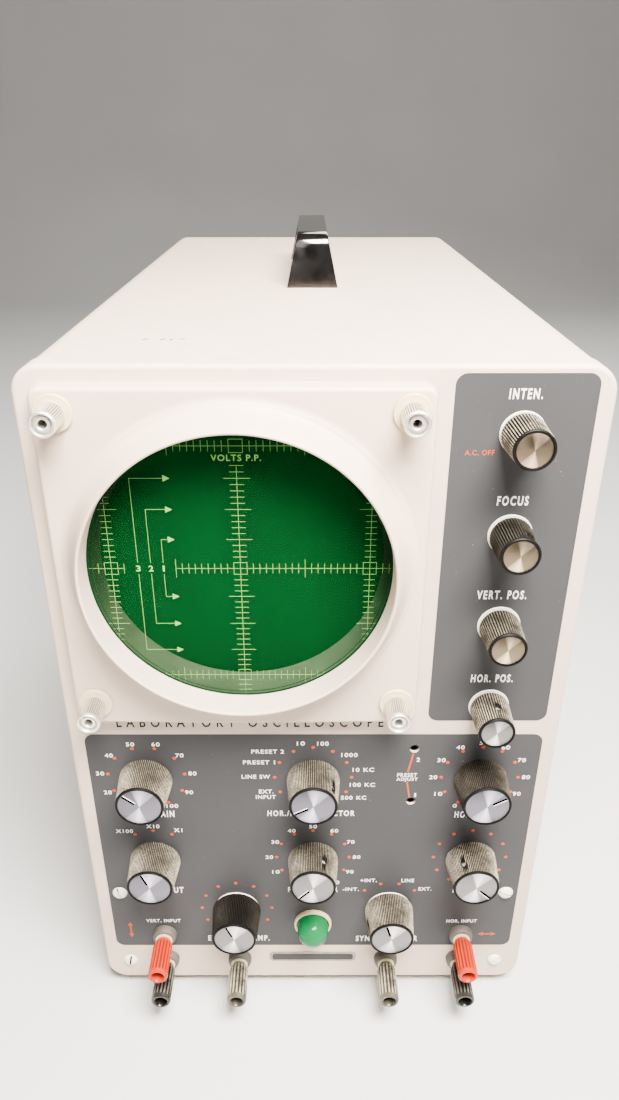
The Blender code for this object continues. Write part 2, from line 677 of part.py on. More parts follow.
def build_works():
    """Chassis deck, circuit board, transformer, filter capacitor and valves."""
    width, length, drop = DECK_SIZE
    mesh = bpy.data.meshes.new("chassis_deck")
    shape = bmesh.new()
    middle = at(0.0, DECK_Z - drop / 2, DECK_FRONT + length / 2)
    bmesh.ops.create_cube(shape, size=1.0, matrix=Matrix.Translation(middle) @ Matrix.Diagonal((*DECK_SIZE, 1.0)))
    open_sides = [f for f in shape.faces if f.normal.z < -0.9 or abs(f.normal.y) > 0.9]
    bmesh.ops.delete(shape, geom=open_sides, context="FACES")
    shape.to_mesh(mesh)
    shape.free()
    deck = add_object("chassis_deck", mesh, "dark_steel")
    thicken(deck, DECK_SHEET)

    board_z = DECK_Z - 0.0220
    board_middle = at(0.0, board_z, DECK_FRONT + 0.1200)
    board = add_object("circuit_board", box_mesh("circuit_board", [(board_middle, BOARD_SIZE)]), "board_brown")
    pillars = []
    for sx in (-1, 1):
        for sy in (-1, 1):
            top = DECK_Z - DECK_SHEET - GAP
            x = board_middle.x + sx * (BOARD_SIZE[0] / 2 - 0.0080)
            y = board_middle.y - FACE_Y + sy * (BOARD_SIZE[1] / 2 - 0.0080)
            pillars.append((at(x, (top + board_z) / 2, y), 0.0030, top - board_z))
    stand = rod_mesh("board_pillars", pillars, 10, Matrix.Identity(4))
    combine(board, add_object("board_pillars", stand), "UNION")

    seat = DECK_Z + GAP
    size = TRANSFORMER_SIZE
    place = at(-0.0200, seat + size[2] / 2, 0.3400)
    core = add_object("power_transformer", box_mesh("power_transformer", [(place, size)]), "core_black")
    edge = core.modifiers.new("Edge", "BEVEL")
    edge.width = 0.0030
    edge.segments = 1

    can = [(0.0, CAPACITOR_HEIGHT), (CAPACITOR_RADIUS - 0.0010, CAPACITOR_HEIGHT)]
    can += [(CAPACITOR_RADIUS, CAPACITOR_HEIGHT - 0.0010), (CAPACITOR_RADIUS, 0.0), (0.0, 0.0)]
    turned("filter_capacitor", can, at(0.0620, seat, 0.3400), "aluminium_can", "up", 20)

    for name, (x, y) in VALVES.items():
        glass = arc((0.0, VALVE_HEIGHT - VALVE_RADIUS), VALVE_RADIUS, 90, 0, 5)
        glass += [(VALVE_RADIUS, 0.0080), (VALVE_RADIUS + 0.0015, 0.0078), (VALVE_RADIUS + 0.0015, 0.0), (0.0, 0.0)]
        turned(name, glass, at(x, seat, y), "clear_glass", "up", 12)


for leftover in list(bpy.data.objects):
    bpy.data.objects.remove(leftover, do_unlink=True)

PARTS = new_collection("oscilloscope")
CUTTERS = new_collection("cutters")

build_cabinet()
build_front_panel()
build_bezel()
build_screen()
build_knobs()
build_posts()
build_thumb_nuts()
build_pilot_lamp()
build_fasteners()
build_handle()
build_feet_and_gland()
build_rear_panel()
build_brackets()
build_works()
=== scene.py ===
import math

import bmesh
import bpy
from mathutils import Matrix, Vector


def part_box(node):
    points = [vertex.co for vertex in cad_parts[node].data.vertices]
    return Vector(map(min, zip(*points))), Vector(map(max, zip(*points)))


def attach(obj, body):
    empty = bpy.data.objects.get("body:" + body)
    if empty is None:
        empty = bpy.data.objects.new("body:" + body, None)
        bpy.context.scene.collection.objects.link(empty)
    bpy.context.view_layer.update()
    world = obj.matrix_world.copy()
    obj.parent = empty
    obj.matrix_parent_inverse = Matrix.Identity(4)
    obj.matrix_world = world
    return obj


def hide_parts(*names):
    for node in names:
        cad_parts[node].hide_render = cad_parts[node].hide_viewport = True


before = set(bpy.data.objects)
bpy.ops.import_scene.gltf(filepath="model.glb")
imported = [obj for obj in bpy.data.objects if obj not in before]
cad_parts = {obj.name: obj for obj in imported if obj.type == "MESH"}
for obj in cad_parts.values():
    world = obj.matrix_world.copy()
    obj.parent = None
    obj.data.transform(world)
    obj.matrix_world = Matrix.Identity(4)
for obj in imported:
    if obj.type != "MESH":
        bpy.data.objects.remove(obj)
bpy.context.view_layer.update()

# Datums of the instrument, in metres: x from its middle, z from the cabinet's lower edge,
# and reach in front of the panel's face
PANEL_DEPTH = 0.0120
SEAM = 0.0003
FACE_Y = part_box("cabinet_shell")[0].y - PANEL_DEPTH - SEAM
BASE_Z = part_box("cabinet_shell")[0].z
WIDTH = 0.2190
HEIGHT = 0.3330
DEPTH = 0.4060
CORNER_RADIUS = 0.0110
SHEET = 0.0012
CUT_DEPTH = 0.02

# Screen and bezel
SCREEN = (-0.0288, 0.2542)
BEZEL_HALF = 0.0730
BEZEL_DROP = 0.0028
BEZEL_DEPTH = 0.0080
OPENING_RADIUS = 0.0598
LIP_RADIUS = 0.0614
FLARE_RADIUS = 0.0705
LIP_REACH = 0.0210
LIP_ROUND = 0.0009
PLATE_RADIUS = 0.0625
PLATE_FRONT = 0.0080
PLATE_BACK = 0.0062
RULING_REACH = 0.0060
RULING_THICKNESS = 0.00006
RULING_WIDTH = 0.00013
PHOSPHOR_RADIUS = 0.0572
TUBE_RADIUS = 0.0655
TUBE_CLEARANCE = 0.0027

HANDLE_FOOT_WIDTH = 0.0273
HANDLE_GRIP_WIDTH = 0.0160

# Controls
KNOB_REACH = 0.0195
KNOB_LIFT = 0.0012
WIDE = {"base": 0.0122, "face": 0.0109, "ridges": 84}
NARROW = {"base": 0.0085, "face": 0.0078, "ridges": 46}
KNOB_RIDGE_DEPTH = 0.00060
SHAFT_RADIUS = 0.0032
PRESETS = ("preset_shaft_1", "preset_shaft_2")
PRESET_HOLE = 0.0022

# Print
INK_REACH = 0.00046
SCALE_RADIUS = 0.0178
DOT_RADIUS = 0.00085
SMALL_PRINT = 0.0023
TITLE_STYLE = {"shear": 0.04, "weight": 0.026, "spacing": 1.32}
KIND_STYLE = {"look": "dark_ink", "reach": 0.00042, "weight": 0.022, "spacing": 1.8}
MARK_WIDTH = 0.0008
MARK_REACH = (0.00047, 0.00052)
ARROW_LENGTH = 0.0027

INCH = 0.0254


def at(x, z, reach=0.0):
    """World place of a point x across, z up from the cabinet's lower edge and reach in front of the panel."""
    return Vector((x, FACE_Y - reach, BASE_Z + z))


def middle(node):
    """(x, z) of a CAD node's axis on the panel."""
    low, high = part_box(node)
    return (low.x + high.x) / 2, (low.z + high.z) / 2 - BASE_Z


def rotation(degrees, axis):
    """A turn about X, Y or Z."""
    return Matrix.Rotation(math.radians(degrees), 4, axis)


# ---------------------------------------------------------------- materials


LOOKS = {}


def set_inputs(node, **numbers):
    """Input values by name, with _ for a space."""
    for socket, value in numbers.items():
        node.inputs[socket.replace("_", " ")].default_value = value


def shade(colour, share):
    """A colour made darker, or lighter where share is over 1."""
    return tuple(c * share for c in colour)


class Look:
    """A material under construction: its node tree, and short names for the nodes it uses."""

    def __init__(self, name, colour, roughness, metallic=0.0, **numbers):
        self.material = bpy.data.materials.new(name)
        self.material.use_nodes = True
        LOOKS[name] = self.material
        self.tree = self.material.node_tree
        self.shader = self.tree.nodes["Principled BSDF"]
        set_inputs(self.shader, Base_Color=(*colour, 1.0), Roughness=roughness, Metallic=metallic, **numbers)
        self.coordinates = self.node("ShaderNodeTexCoord").outputs["Object"]

    def node(self, kind, **settings):
        made = self.tree.nodes.new(kind)
        for key, value in settings.items():
            setattr(made, key, value)
        return made

    def link(self, source, target):
        self.tree.links.new(source, target)

    def feed(self, source, socket):
        self.link(source, self.shader.inputs[socket])

    def stretched(self, stretch):
        mapping = self.node("ShaderNodeMapping")
        self.link(self.coordinates, mapping.inputs["Vector"])
        set_inputs(mapping, Scale=stretch)
        return mapping.outputs["Vector"]

    def noise(self, size, detail=3.0, stretch=None, seed=0.0):
        """Noise between 0 and 1 whose features are about size metres across."""
        made = self.node("ShaderNodeTexNoise", noise_dimensions="4D")
        self.link(self.stretched(stretch) if stretch else self.coordinates, made.inputs["Vector"])
        set_inputs(made, Scale=1.0 / size, Detail=detail, W=seed)
        return made.outputs["Fac"]

    def remap(self, value, **limits):
        made = self.node("ShaderNodeMapRange", clamp=True)
        self.link(value, made.inputs["Value"])
        set_inputs(made, **limits)
        return made.outputs["Result"]

    def ramp(self, value, low, high):
        """0 below low, 1 above high, straight between."""
        return self.remap(value, From_Min=low, From_Max=high)

    def patches(self, low, high, size, detail=3.0, **settings):
        """Patches of noise: 0 where it is below low and 1 above high."""
        return self.ramp(self.noise(size, detail, **settings), low, high)

    def maths(self, operation, a, b=0.0):
        made = self.node("ShaderNodeMath", operation=operation)
        for slot, value in zip(made.inputs, (a, b)):
            if isinstance(value, (int, float)):
                slot.default_value = value
            else:
                self.link(value, slot)
        return made.outputs["Value"]

    def times(self, a, b):
        return self.maths("MULTIPLY", a, b)

    def mix(self, factor, a, b):
        """Colour a where factor is 0 and b where it is 1; each is a colour or a socket."""
        made = self.node("ShaderNodeMix", data_type="RGBA")
        self.link(factor, made.inputs["Factor"])
        for slot, value in ((made.inputs[6], a), (made.inputs[7], b)):
            if isinstance(value, tuple):
                slot.default_value = (*value, 1.0)
            else:
                self.link(value, slot)
        return made.outputs[2]

    def attribute(self, name):
        return self.node("ShaderNodeAttribute", attribute_name=name).outputs["Fac"]

    def pointiness(self, low, high):
        return self.ramp(self.node("ShaderNodeNewGeometry").outputs["Pointiness"], low, high)

    def vary_roughness(self, value, low, high):
        self.feed(self.remap(value, To_Min=low, To_Max=high), "Roughness")

    def bump(self, painted_light_height, distance, strength=1.0):
        made = self.node("ShaderNodeBump")
        self.link(painted_light_height, made.inputs["Height"])
        set_inputs(made, Distance=distance, Strength=strength)
        self.feed(made.outputs["Normal"], "Normal")


def paint(name, colour, dust, dust_amount, wear, **numbers):
    """Baked enamel: faint mottling, orange-peel, specks of dust and thin rubbed edges."""
    look = Look(name, colour, 0.42, **numbers)
    patches = look.noise(0.060, 4.0)
    darker = shade(colour, 0.96)
    lighter = shade(colour, 1.02)
    body = look.mix(look.ramp(patches, 0.35, 0.68), darker, lighter)
    grains = look.patches(0.80 - dust_amount, 0.84 - dust_amount, 0.0008, 1.0, seed=3.0)
    drift = look.patches(0.35, 0.60, 0.035, 3.0, seed=7.0)
    specks = look.times(grains, drift)
    body = look.mix(look.times(specks, 0.7), body, dust)
    if wear:
        patchy = look.patches(0.42, 0.60, 0.010, 4.0, seed=5.0)
        rubbed = look.times(look.pointiness(0.53, 0.60), patchy)
        body = look.mix(look.times(rubbed, wear), body, (0.30, 0.28, 0.26))
    look.feed(body, "Base Color")
    look.vary_roughness(patches, 0.44, 0.50)
    look.bump(look.noise(0.0009, 3.0, seed=2.0), 0.00006, 0.6)


def ink(name, colour, **numbers):
    """Screen-printed ink, a little uneven."""
    look = Look(name, colour, 0.50, **numbers)
    worn = look.patches(0.30, 0.62, 0.0008, 3.0)
    look.feed(look.mix(worn, shade(colour, 0.72), colour), "Base Color")
    look.bump(look.noise(0.0004, 2.0), 0.00002, 0.5)


def grimy_plastic(name, colour, grime, roughness):
    """Moulded knob plastic whose ridges have collected pale grime, more on some knobs than others."""
    look = Look(name, colour, roughness, Specular_IOR_Level=0.07)
    patches = look.patches(0.32, 0.60, 0.0075, 4.0)
    spread = look.maths("ADD", 0.30, look.times(patches, 0.80))
    amount = look.times(look.attribute("grime"), spread)
    crest = look.times(look.ramp(look.attribute("crest"), 0.22, 0.80), amount)
    fine = look.patches(0.36, 0.60, 0.0008, 2.0, seed=4.0)
    cover = look.times(crest, look.maths("ADD", 0.35, look.times(fine, 0.65)))
    look.feed(look.mix(cover, colour, grime), "Base Color")
    look.vary_roughness(cover, roughness, 0.85)
    look.bump(look.noise(0.0005, 3.0, seed=8.0), 0.00005, 0.6)


def spun_metal(name, colour):
    """Faced aluminium disc: concentric tool marks, with a painted reflection of bright wedges fanning out
    from the middle and darker sectors between.
    """
    look = Look(name, colour, 0.30, 1.0, Anisotropic=0.6)
    tangent = look.node("ShaderNodeTangent", direction_type="RADIAL", axis="Y")
    look.feed(tangent.outputs["Tangent"], "Tangent")
    split = look.node("ShaderNodeSeparateXYZ")
    look.link(look.coordinates, split.inputs["Vector"])
    across = look.maths("POWER", split.outputs["X"], 2.0)
    up = look.maths("POWER", split.outputs["Z"], 2.0)
    radius = look.maths("SQRT", look.maths("ADD", across, up))
    rings = look.maths("SINE", look.times(radius, 2 * math.pi / 0.00022))
    # Painted reflection: bright wedges at fixed angles and darker sectors elsewhere, where the tool marks
    # would catch the light
    angle = look.maths("ARCTAN2", split.outputs["Z"], split.outputs["X"])
    broad = look.maths("ABSOLUTE", look.maths("SINE", look.maths("ADD", angle, 0.12)))
    narrow = look.maths("ABSOLUTE", look.maths("SINE", look.maths("ADD", angle, 0.62)))
    reflection_wedge = look.maths("ADD", look.ramp(broad, 0.90, 1.0), look.times(look.ramp(narrow, 0.98, 1.0), 0.4))
    darker = shade(colour, 0.20)
    painted_reflection = look.mix(look.ramp(reflection_wedge, 0.0, 1.0), darker, colour)
    stains = look.patches(0.54, 0.74, 0.0045, 4.0)
    look.feed(look.mix(look.times(stains, 0.25), painted_reflection, darker), "Base Color")
    look.vary_roughness(look.noise(0.0020, 3.0, seed=2.0), 0.22, 0.40)
    look.bump(rings, 0.000012, 0.5)


def metal(name, colour, roughness, stain, stain_amount, grain=(1.0, 1.0, 1.0), grain_size=0.0006):
    """Plated or bare metal with stains, smudges and a fine grain, and painted shade in the valleys of its
    ridges.
    """
    look = Look(name, colour, roughness, 1.0)
    stains = look.patches(0.46, 0.70, 0.0060, 5.0)
    body = look.mix(look.times(stains, stain_amount), colour, stain)
    # Painted shade: the valleys between ridges are darkened
    painted_valley_shade = shade(stain, 0.12)
    look.feed(look.mix(look.times(look.attribute("valley"), 0.9), body, painted_valley_shade), "Base Color")
    look.vary_roughness(look.noise(0.0040, 4.0, seed=6.0), roughness * 0.75, roughness * 1.5)
    look.bump(look.noise(grain_size, 3.0, stretch=grain), 0.00003, 0.4)


def plastic(name, colour, roughness, dust_and_sheen, dust_amount, **numbers):
    """Glossy moulded plastic whose ridges are paler, part dust and part painted sheen, with painted shade in
    the valleys between them.
    """
    look = Look(name, colour, roughness, **numbers)
    patches = look.patches(0.36, 0.60, 0.0060, 4.0)
    # Pale colour on the ridge crests: dust, and a painted sheen where the flutes would catch light
    crest = look.maths("ADD", 0.12, look.times(look.attribute("crest"), 0.88))
    cover = look.times(look.times(patches, crest), dust_amount)
    body = look.mix(cover, colour, dust_and_sheen)
    # Painted shade: the valleys between ridges get a darker copy of the colour
    valley_shade = shade(colour, 0.25)
    look.feed(look.mix(look.times(look.attribute("valley"), 0.8), body, valley_shade), "Base Color")
    look.vary_roughness(look.noise(0.0030, 4.0, seed=9.0), roughness * 0.7, roughness * 1.5)
    look.bump(look.noise(0.0007, 3.0, seed=1.0), 0.00003, 0.4)


def coated(name, colour, roughness, **numbers):
    """A smooth tinted surface, such as lens plastic or a filter, with faint smears."""
    look = Look(name, colour, roughness, **numbers)
    smears = look.ramp(look.noise(0.018, 5.0, stretch=(1.0, 1.0, 0.5)), 0.40, 0.75)
    look.feed(look.mix(smears, colour, shade(colour, 0.82)), "Base Color")
    look.vary_roughness(smears, roughness, roughness * 2.2)


def tube_rim(name, painted_lit, painted_dim):
    """The clear rim of the tube's face, painted with light and shade: pale at its lowest part and dim from
    its middle up.
    """
    look = Look(name, painted_lit, 0.40, Specular_IOR_Level=0.10)
    split = look.node("ShaderNodeSeparateXYZ")
    look.link(look.coordinates, split.inputs["Vector"])
    # Painted light and shade by height: pale low down and darker upwards, with noise breaking the edge
    # between them
    painted_light_height = look.ramp(split.outputs["Z"], -0.056, -0.004)
    smears = look.patches(0.35, 0.70, 0.010, 4.0)
    shade = look.maths("MINIMUM", look.maths("ADD", painted_light_height, look.times(smears, 0.25)), 1.0)
    look.feed(look.mix(shade, painted_lit, painted_dim), "Base Color")


def rubber(name):
    """Black rubber under patches of dust."""
    black = (0.022, 0.021, 0.020)
    look = Look(name, black, 0.80)
    dust = look.patches(0.45, 0.75, 0.0050, 4.0)
    look.feed(look.mix(look.times(dust, 0.5), black, (0.13, 0.12, 0.11)), "Base Color")
    look.bump(look.noise(0.0008, 3.0), 0.00010, 0.6)


DUST = (0.62, 0.58, 0.53)
paint("case_paint", (0.600, 0.462, 0.358), (0.78, 0.72, 0.66), 0.04, 0.35)
paint("dark_paint", (0.038, 0.0375, 0.0395), DUST, 0.045, 0.0, Specular_IOR_Level=0.12)
ink("white_ink", (0.98, 0.97, 0.94))
ink("dark_ink", (0.022, 0.020, 0.018), Specular_IOR_Level=0.10)
ink("orange_ink", (0.48, 0.062, 0.006), Specular_IOR_Level=0.20)
grimy_plastic("knob_plastic", (0.0030, 0.0028, 0.0026), (0.370, 0.320, 0.235), 0.45)
spun_metal("spun_cool", (0.76, 0.72, 0.90))
spun_metal("spun_warm", (0.94, 0.72, 0.47))
spun_metal("spun_bright", (0.96, 0.93, 0.94))
metal("nickel", (0.98, 0.94, 0.87), 0.42, (0.74, 0.62, 0.44), 0.40)
plastic("cream", (0.62, 0.51, 0.29), 0.40, (0.40, 0.29, 0.14), 0.6)
plastic("white_enamel", (0.84, 0.80, 0.70), 0.35, (0.60, 0.54, 0.42), 0.4)
plastic("red_plastic", (0.36, 0.015, 0.002), 0.30, (0.44, 0.06, 0.018), 0.40, Specular_IOR_Level=0.22)
# The pale ridge colour of the black and worn caps is part dust and part painted sheen
plastic("black_plastic", (0.004, 0.004, 0.0035), 0.14, (0.21, 0.195, 0.16), 0.80, Specular_IOR_Level=0.30)
plastic("collar_plastic", (0.062, 0.052, 0.042), 0.55, (0.17, 0.145, 0.105), 0.8)
plastic("worn_sheen_plastic", (0.028, 0.024, 0.017), 0.25, (0.52, 0.46, 0.34), 1.0, Specular_IOR_Level=0.35)
# Chrome: its dark base colour and heavy dark stains are partly painted reflection, standing in for dark
# surroundings mirrored in the strap
metal("chrome", (0.20, 0.18, 0.17), 0.10, (0.07, 0.06, 0.055), 0.9, (4.0, 1.0, 0.15), 0.0012)
metal("plate_metal", (0.30, 0.29, 0.28), 0.42, (0.12, 0.115, 0.11), 0.7, (0.1, 1.0, 6.0))
ink("plate_dark", (0.024, 0.023, 0.022), Specular_IOR_Level=0.20)
coated("phosphor", (0.000, 0.027, 0.0048), 0.50, Specular_IOR_Level=0.0)
tube_rim("tube_edge", (0.095, 0.148, 0.080), (0.016, 0.026, 0.012))
coated("plate_edge", (0.001, 0.020, 0.006), 0.30, Specular_IOR_Level=0.05)
coated("filter", (0.000, 0.040, 0.006), 0.30, Alpha=0.12, Specular_IOR_Level=0.03)
coated("clear_face", (0.10, 0.20, 0.12), 0.35, Alpha=0.02, Specular_IOR_Level=0.0)
ink("ruling", (0.30, 0.62, 0.14), Specular_IOR_Level=0.05)
coated("jewel", (0.000, 0.120, 0.033), 0.10, Specular_IOR_Level=0.16)
rubber("rubber")
# Flat black: print on pointers and scuffs on the lid, and painted shade in screw slots, nut bores and preset
# holes
ink("black_and_hole_shade", (0.0012, 0.0012, 0.0012), Specular_IOR_Level=0.0)
metal("zinc", (0.55, 0.55, 0.52), 0.38, (0.35, 0.33, 0.28), 0.6)
coated("glass", (0.50, 0.56, 0.55), 0.05, Alpha=0.45)
plastic("varnished_core", (0.030, 0.028, 0.026), 0.45, (0.20, 0.17, 0.13), 0.5)
plastic("resin_board", (0.22, 0.12, 0.045), 0.50, (0.32, 0.26, 0.18), 0.5)

# ---------------------------------------------------------------- geometry helpers


def show(name, data):
    """A new object in the scene."""
    made = bpy.data.objects.new(name, data)
    bpy.context.scene.collection.objects.link(made)
    return made


def piece(name, mesh, look, body="case", place=None, sharp=35.0, weighted=False):
    """A smooth-shaded object with one material, riding on a body."""
    mesh.shade_smooth()
    mesh.set_sharp_from_angle(angle=math.radians(sharp))
    mesh.materials.append(LOOKS[look])
    made = show(name, mesh)
    if place is not None:
        made.location = place
    if weighted:
        normals = made.modifiers.new("Flat faces stay flat", "WEIGHTED_NORMAL")
        normals.keep_sharp = True
    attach(made, body)
    return made


def to_mesh(shape, name, turn=None):
    """The shape as a mesh with its faces turned outwards, rotated by a matrix if one is given."""
    bmesh.ops.recalc_face_normals(shape, faces=shape.faces)
    mesh = bpy.data.meshes.new(name)
    shape.to_mesh(mesh)
    shape.free()
    if turn is not None:
        mesh.transform(turn)
    return mesh


def lathe_mesh(name, profile, steps=64, ridges=0, ridge_depth=0.0, grime=0.0, closed=True, turn=None):
    """Mesh turned about the panel's normal from (radius, reach) points; a third number, 0 to 1, ridges it."""
    shape = bmesh.new()
    crest_layer = shape.verts.layers.float.new("crest")
    valley_layer = shape.verts.layers.float.new("valley")
    grime_layer = shape.verts.layers.float.new("grime")
    rings = []
    for radius, reach, *ridge in profile:
        ridged = ridge[0] if ridge else 0.0
        count = 1 if radius == 0.0 else steps
        ring = []
        for i in range(count):
            angle = 2 * math.pi * i / steps
            wave = 0.5 - 0.5 * math.cos(ridges * angle)
            r = radius - ridge_depth * ridged * wave
            vert = shape.verts.new((r * math.sin(angle), -reach, r * math.cos(angle)))
            vert[crest_layer] = ridged * (1.0 - wave) ** 2
            vert[valley_layer] = ridged * wave
            vert[grime_layer] = grime
            ring.append(vert)
        rings.append(ring)
    pairs = list(zip(rings, rings[1:]))
    if closed:
        pairs.append((rings[-1], rings[0]))
    for a, b in pairs:
        for i in range(steps):
            j = (i + 1) % steps
            corners = []
            for vert in (a[i % len(a)], a[j % len(a)], b[j % len(b)], b[i % len(b)]):
                if vert not in corners:
                    corners.append(vert)
            if len(corners) > 2:
                shape.faces.new(corners)
    return to_mesh(shape, name, turn)


def behind(front, points):
    """Profile points given by their distance behind a front."""
    return [(radius, front - back, *ridge) for radius, back, *ridge in points]


def lathe(name, node, profile, look, body="case", **settings):
    """A turned piece on the axis of a CAD node, or of a point (x, z)."""
    x, z = node if isinstance(node, tuple) else middle(node)
    return piece(name, lathe_mesh(name, profile, **settings), look, body, at(x, z))


def arc_angles(count):
    """Angles of a quarter turn, in equal steps."""
    return [math.pi / 2 * i / count for i in range(count + 1)]


def rolled_edge(radius):
    """(inset, drop) points round a rolled edge, from the flat to the side."""
    return [(radius * (1 - math.sin(a)), radius * (1 - math.cos(a))) for a in arc_angles(6)]


def arc(centre, radius, first, last, count):
    """(radius, reach) points round an arc, angles in degrees from the outward direction to the front."""
    points = []
    for i in range(count):
        angle = math.radians(first + (last - first) * i / (count - 1))
        points.append((centre[0] + radius * math.cos(angle), centre[1] + radius * math.sin(angle)))
    return points


def outline(half_width, half_height, radius, steps=8):
    """Corners of a rounded rectangle about the origin, as (x, z), anticlockwise."""
    points = []
    for quarter, (sx, sz) in enumerate(((1, 1), (-1, 1), (-1, -1), (1, -1))):
        for i in range(steps + 1):
            angle = math.radians(90 * quarter + 90 * i / steps)
            x = sx * (half_width - radius) + radius * math.cos(angle)
            z = sz * (half_height - radius) + radius * math.sin(angle)
            points.append((x, z))
    return points


def box(shape, low, high):
    """Add a block between two corners."""
    size = Vector(high) - Vector(low)
    place = Matrix.Translation((Vector(low) + Vector(high)) / 2) @ Matrix.Diagonal((*size, 1.0))
    bmesh.ops.create_cube(shape, size=1.0, matrix=place)


def cylinder(shape, centre, radius, length, axis="Y", steps=48):
    """Add a rod along Y or Z."""
    turn = rotation(90, "X") if axis == "Y" else Matrix.Identity(4)
    bmesh.ops.create_cone(
        shape,
        cap_ends=True,
        segments=steps,
        radius1=radius,
        radius2=radius,
        depth=length,
        matrix=Matrix.Translation(centre) @ turn,
    )


def cut(mesh, shape, turn=None):
    """mesh less the closed solids in shape, as a new mesh."""
    target = show("cut_target", mesh)
    cutter = show("cut_tool", to_mesh(shape, "tool", turn))
    change = target.modifiers.new("Cut", "BOOLEAN")
    change.object = cutter
    change.operation = "DIFFERENCE"
    result = bpy.data.meshes.new_from_object(target.evaluated_get(bpy.context.evaluated_depsgraph_get()))
    result.name = mesh.name
    for made in (target, cutter):
        bpy.data.objects.remove(made, do_unlink=True)
    return result


def skin(shape, rings, fill_ends=True):
    """Add a skin over closed loops of points of equal count, its ends filled or else joined to each other."""
    loops = [[shape.verts.new(point) for point in ring] for ring in rings]
    count = len(loops[0])
    pairs = list(zip(loops, loops[1:]))
    if not fill_ends:
        pairs.append((loops[-1], loops[0]))
    for a, b in pairs:
        for i in range(count):
            j = (i + 1) % count
            shape.faces.new((a[i], a[j], b[j], b[i]))
    if fill_ends:
        shape.faces.new(loops[0])
        shape.faces.new(loops[-1])


def rings_mesh(name, rings, fill_ends=True):
    """A skin over loops, as a mesh of its own."""
    shape = bmesh.new()
    skin(shape, rings, fill_ends)
    return to_mesh(shape, name)


def slab(flat, centre, low, high):
    """Two loops of one outline, low and high in front of the panel, about a centre (x, z)."""
    return [[at(centre[0] + x, centre[1] + z, reach) for x, z in flat] for reach in (low, high)]


def stroke(x0, z0, x1, z1, width, past=0.0):
    """Outline of a straight line between two points, carried on past each end."""
    a, b = Vector((x0, z0)), Vector((x1, z1))
    along = (b - a).normalized()
    side = Vector((-along.y, along.x)) * width / 2
    a, b = a - along * past, b + along * past
    return [a + side, a - side, b - side, b + side]


def arrowhead(x, z, dx, dz, length, half=0.0013):
    """Outline of an arrowhead whose tip is at (x, z), pointing along (dx, dz)."""
    tip, along, side = Vector((x, z)), Vector((dx, dz)) * length, Vector((-dz, dx)) * half
    return [tip, tip - along + side, tip - along - side]


# ---------------------------------------------------------------- case


def build_front_panel():
    """The face pan with rolled edges, open for the tube and the two presets."""
    half_width = WIDTH / 2 + 0.0004
    half_height = HEIGHT / 2 + 0.0004
    edge = 0.0020
    wall = 0.0015
    rings = rolled_edge(edge)
    rings += [(0.0, PANEL_DEPTH), (wall, PANEL_DEPTH), (wall, edge), (edge, wall)]
    loops = []
    for inset, back in rings:
        flat = outline(half_width - inset, half_height - inset, max(0.002, CORNER_RADIUS - inset), 10)
        loops.append([at(x, HEIGHT / 2 + z, -back + 0.0004) for x, z in flat])
    mesh = rings_mesh("panel_skin", loops)
    tool = bmesh.new()
    cylinder(tool, at(*SCREEN), TUBE_RADIUS + TUBE_CLEARANCE, CUT_DEPTH, steps=128)
    for node in PRESETS:
        cylinder(tool, at(*middle(node)), PRESET_HOLE, CUT_DEPTH, steps=32)
    made = piece("panel_skin", cut(mesh, tool), "case_paint", weighted=True)
    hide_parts("front_panel")


def painted_area(name, x0, x1, z0, z1, holes=()):
    """A dark area of the panel: a layer of paint with rounded corners."""
    flat = outline((x1 - x0) / 2, (z1 - z0) / 2, 0.0045)
    mesh = rings_mesh(name, slab(flat, ((x0 + x1) / 2, (z0 + z1) / 2), 0.00030, INK_REACH))
    if holes:
        tool = bmesh.new()
        for x, z in holes:
            cylinder(tool, at(x, z), PRESET_HOLE, CUT_DEPTH, steps=32)
        mesh = cut(mesh, tool)
    piece(name, mesh, "dark_paint")


def louvre_hood(shape, side, y, z):
    """One pressed louvre: a hood that rises from the sheet towards its open rear edge."""
    length, run, rise = 0.0520, 0.0042, 0.0016
    steps, rows = 14, 5
    x0 = side * WIDTH / 2
    grid = []
    for i in range(rows + 1):
        share = i / rows
        row = []
        for j in range(steps + 1):
            along = -1 + 2 * j / steps
            taper = (1 - abs(along) ** 6) ** 0.5
            lift = rise * math.sin(math.pi / 2 * share) * taper
            half = length / 2 - 0.0012 * (1 - share)
            place = at(x0 + side * lift, z + half * along, -y - run * (share - 0.6))
            row.append(shape.verts.new(place))
        grid.append(row)
    low = [shape.verts.new((x0 - side * 0.0004, v.co.y, v.co.z)) for v in grid[-1]]
    for a, b in zip(grid, grid[1:]):
        for j in range(steps):
            shape.faces.new((a[j], a[j + 1], b[j + 1], b[j]))
    for j in range(steps):
        shape.faces.new((grid[-1][j], grid[-1][j + 1], low[j + 1], low[j]))


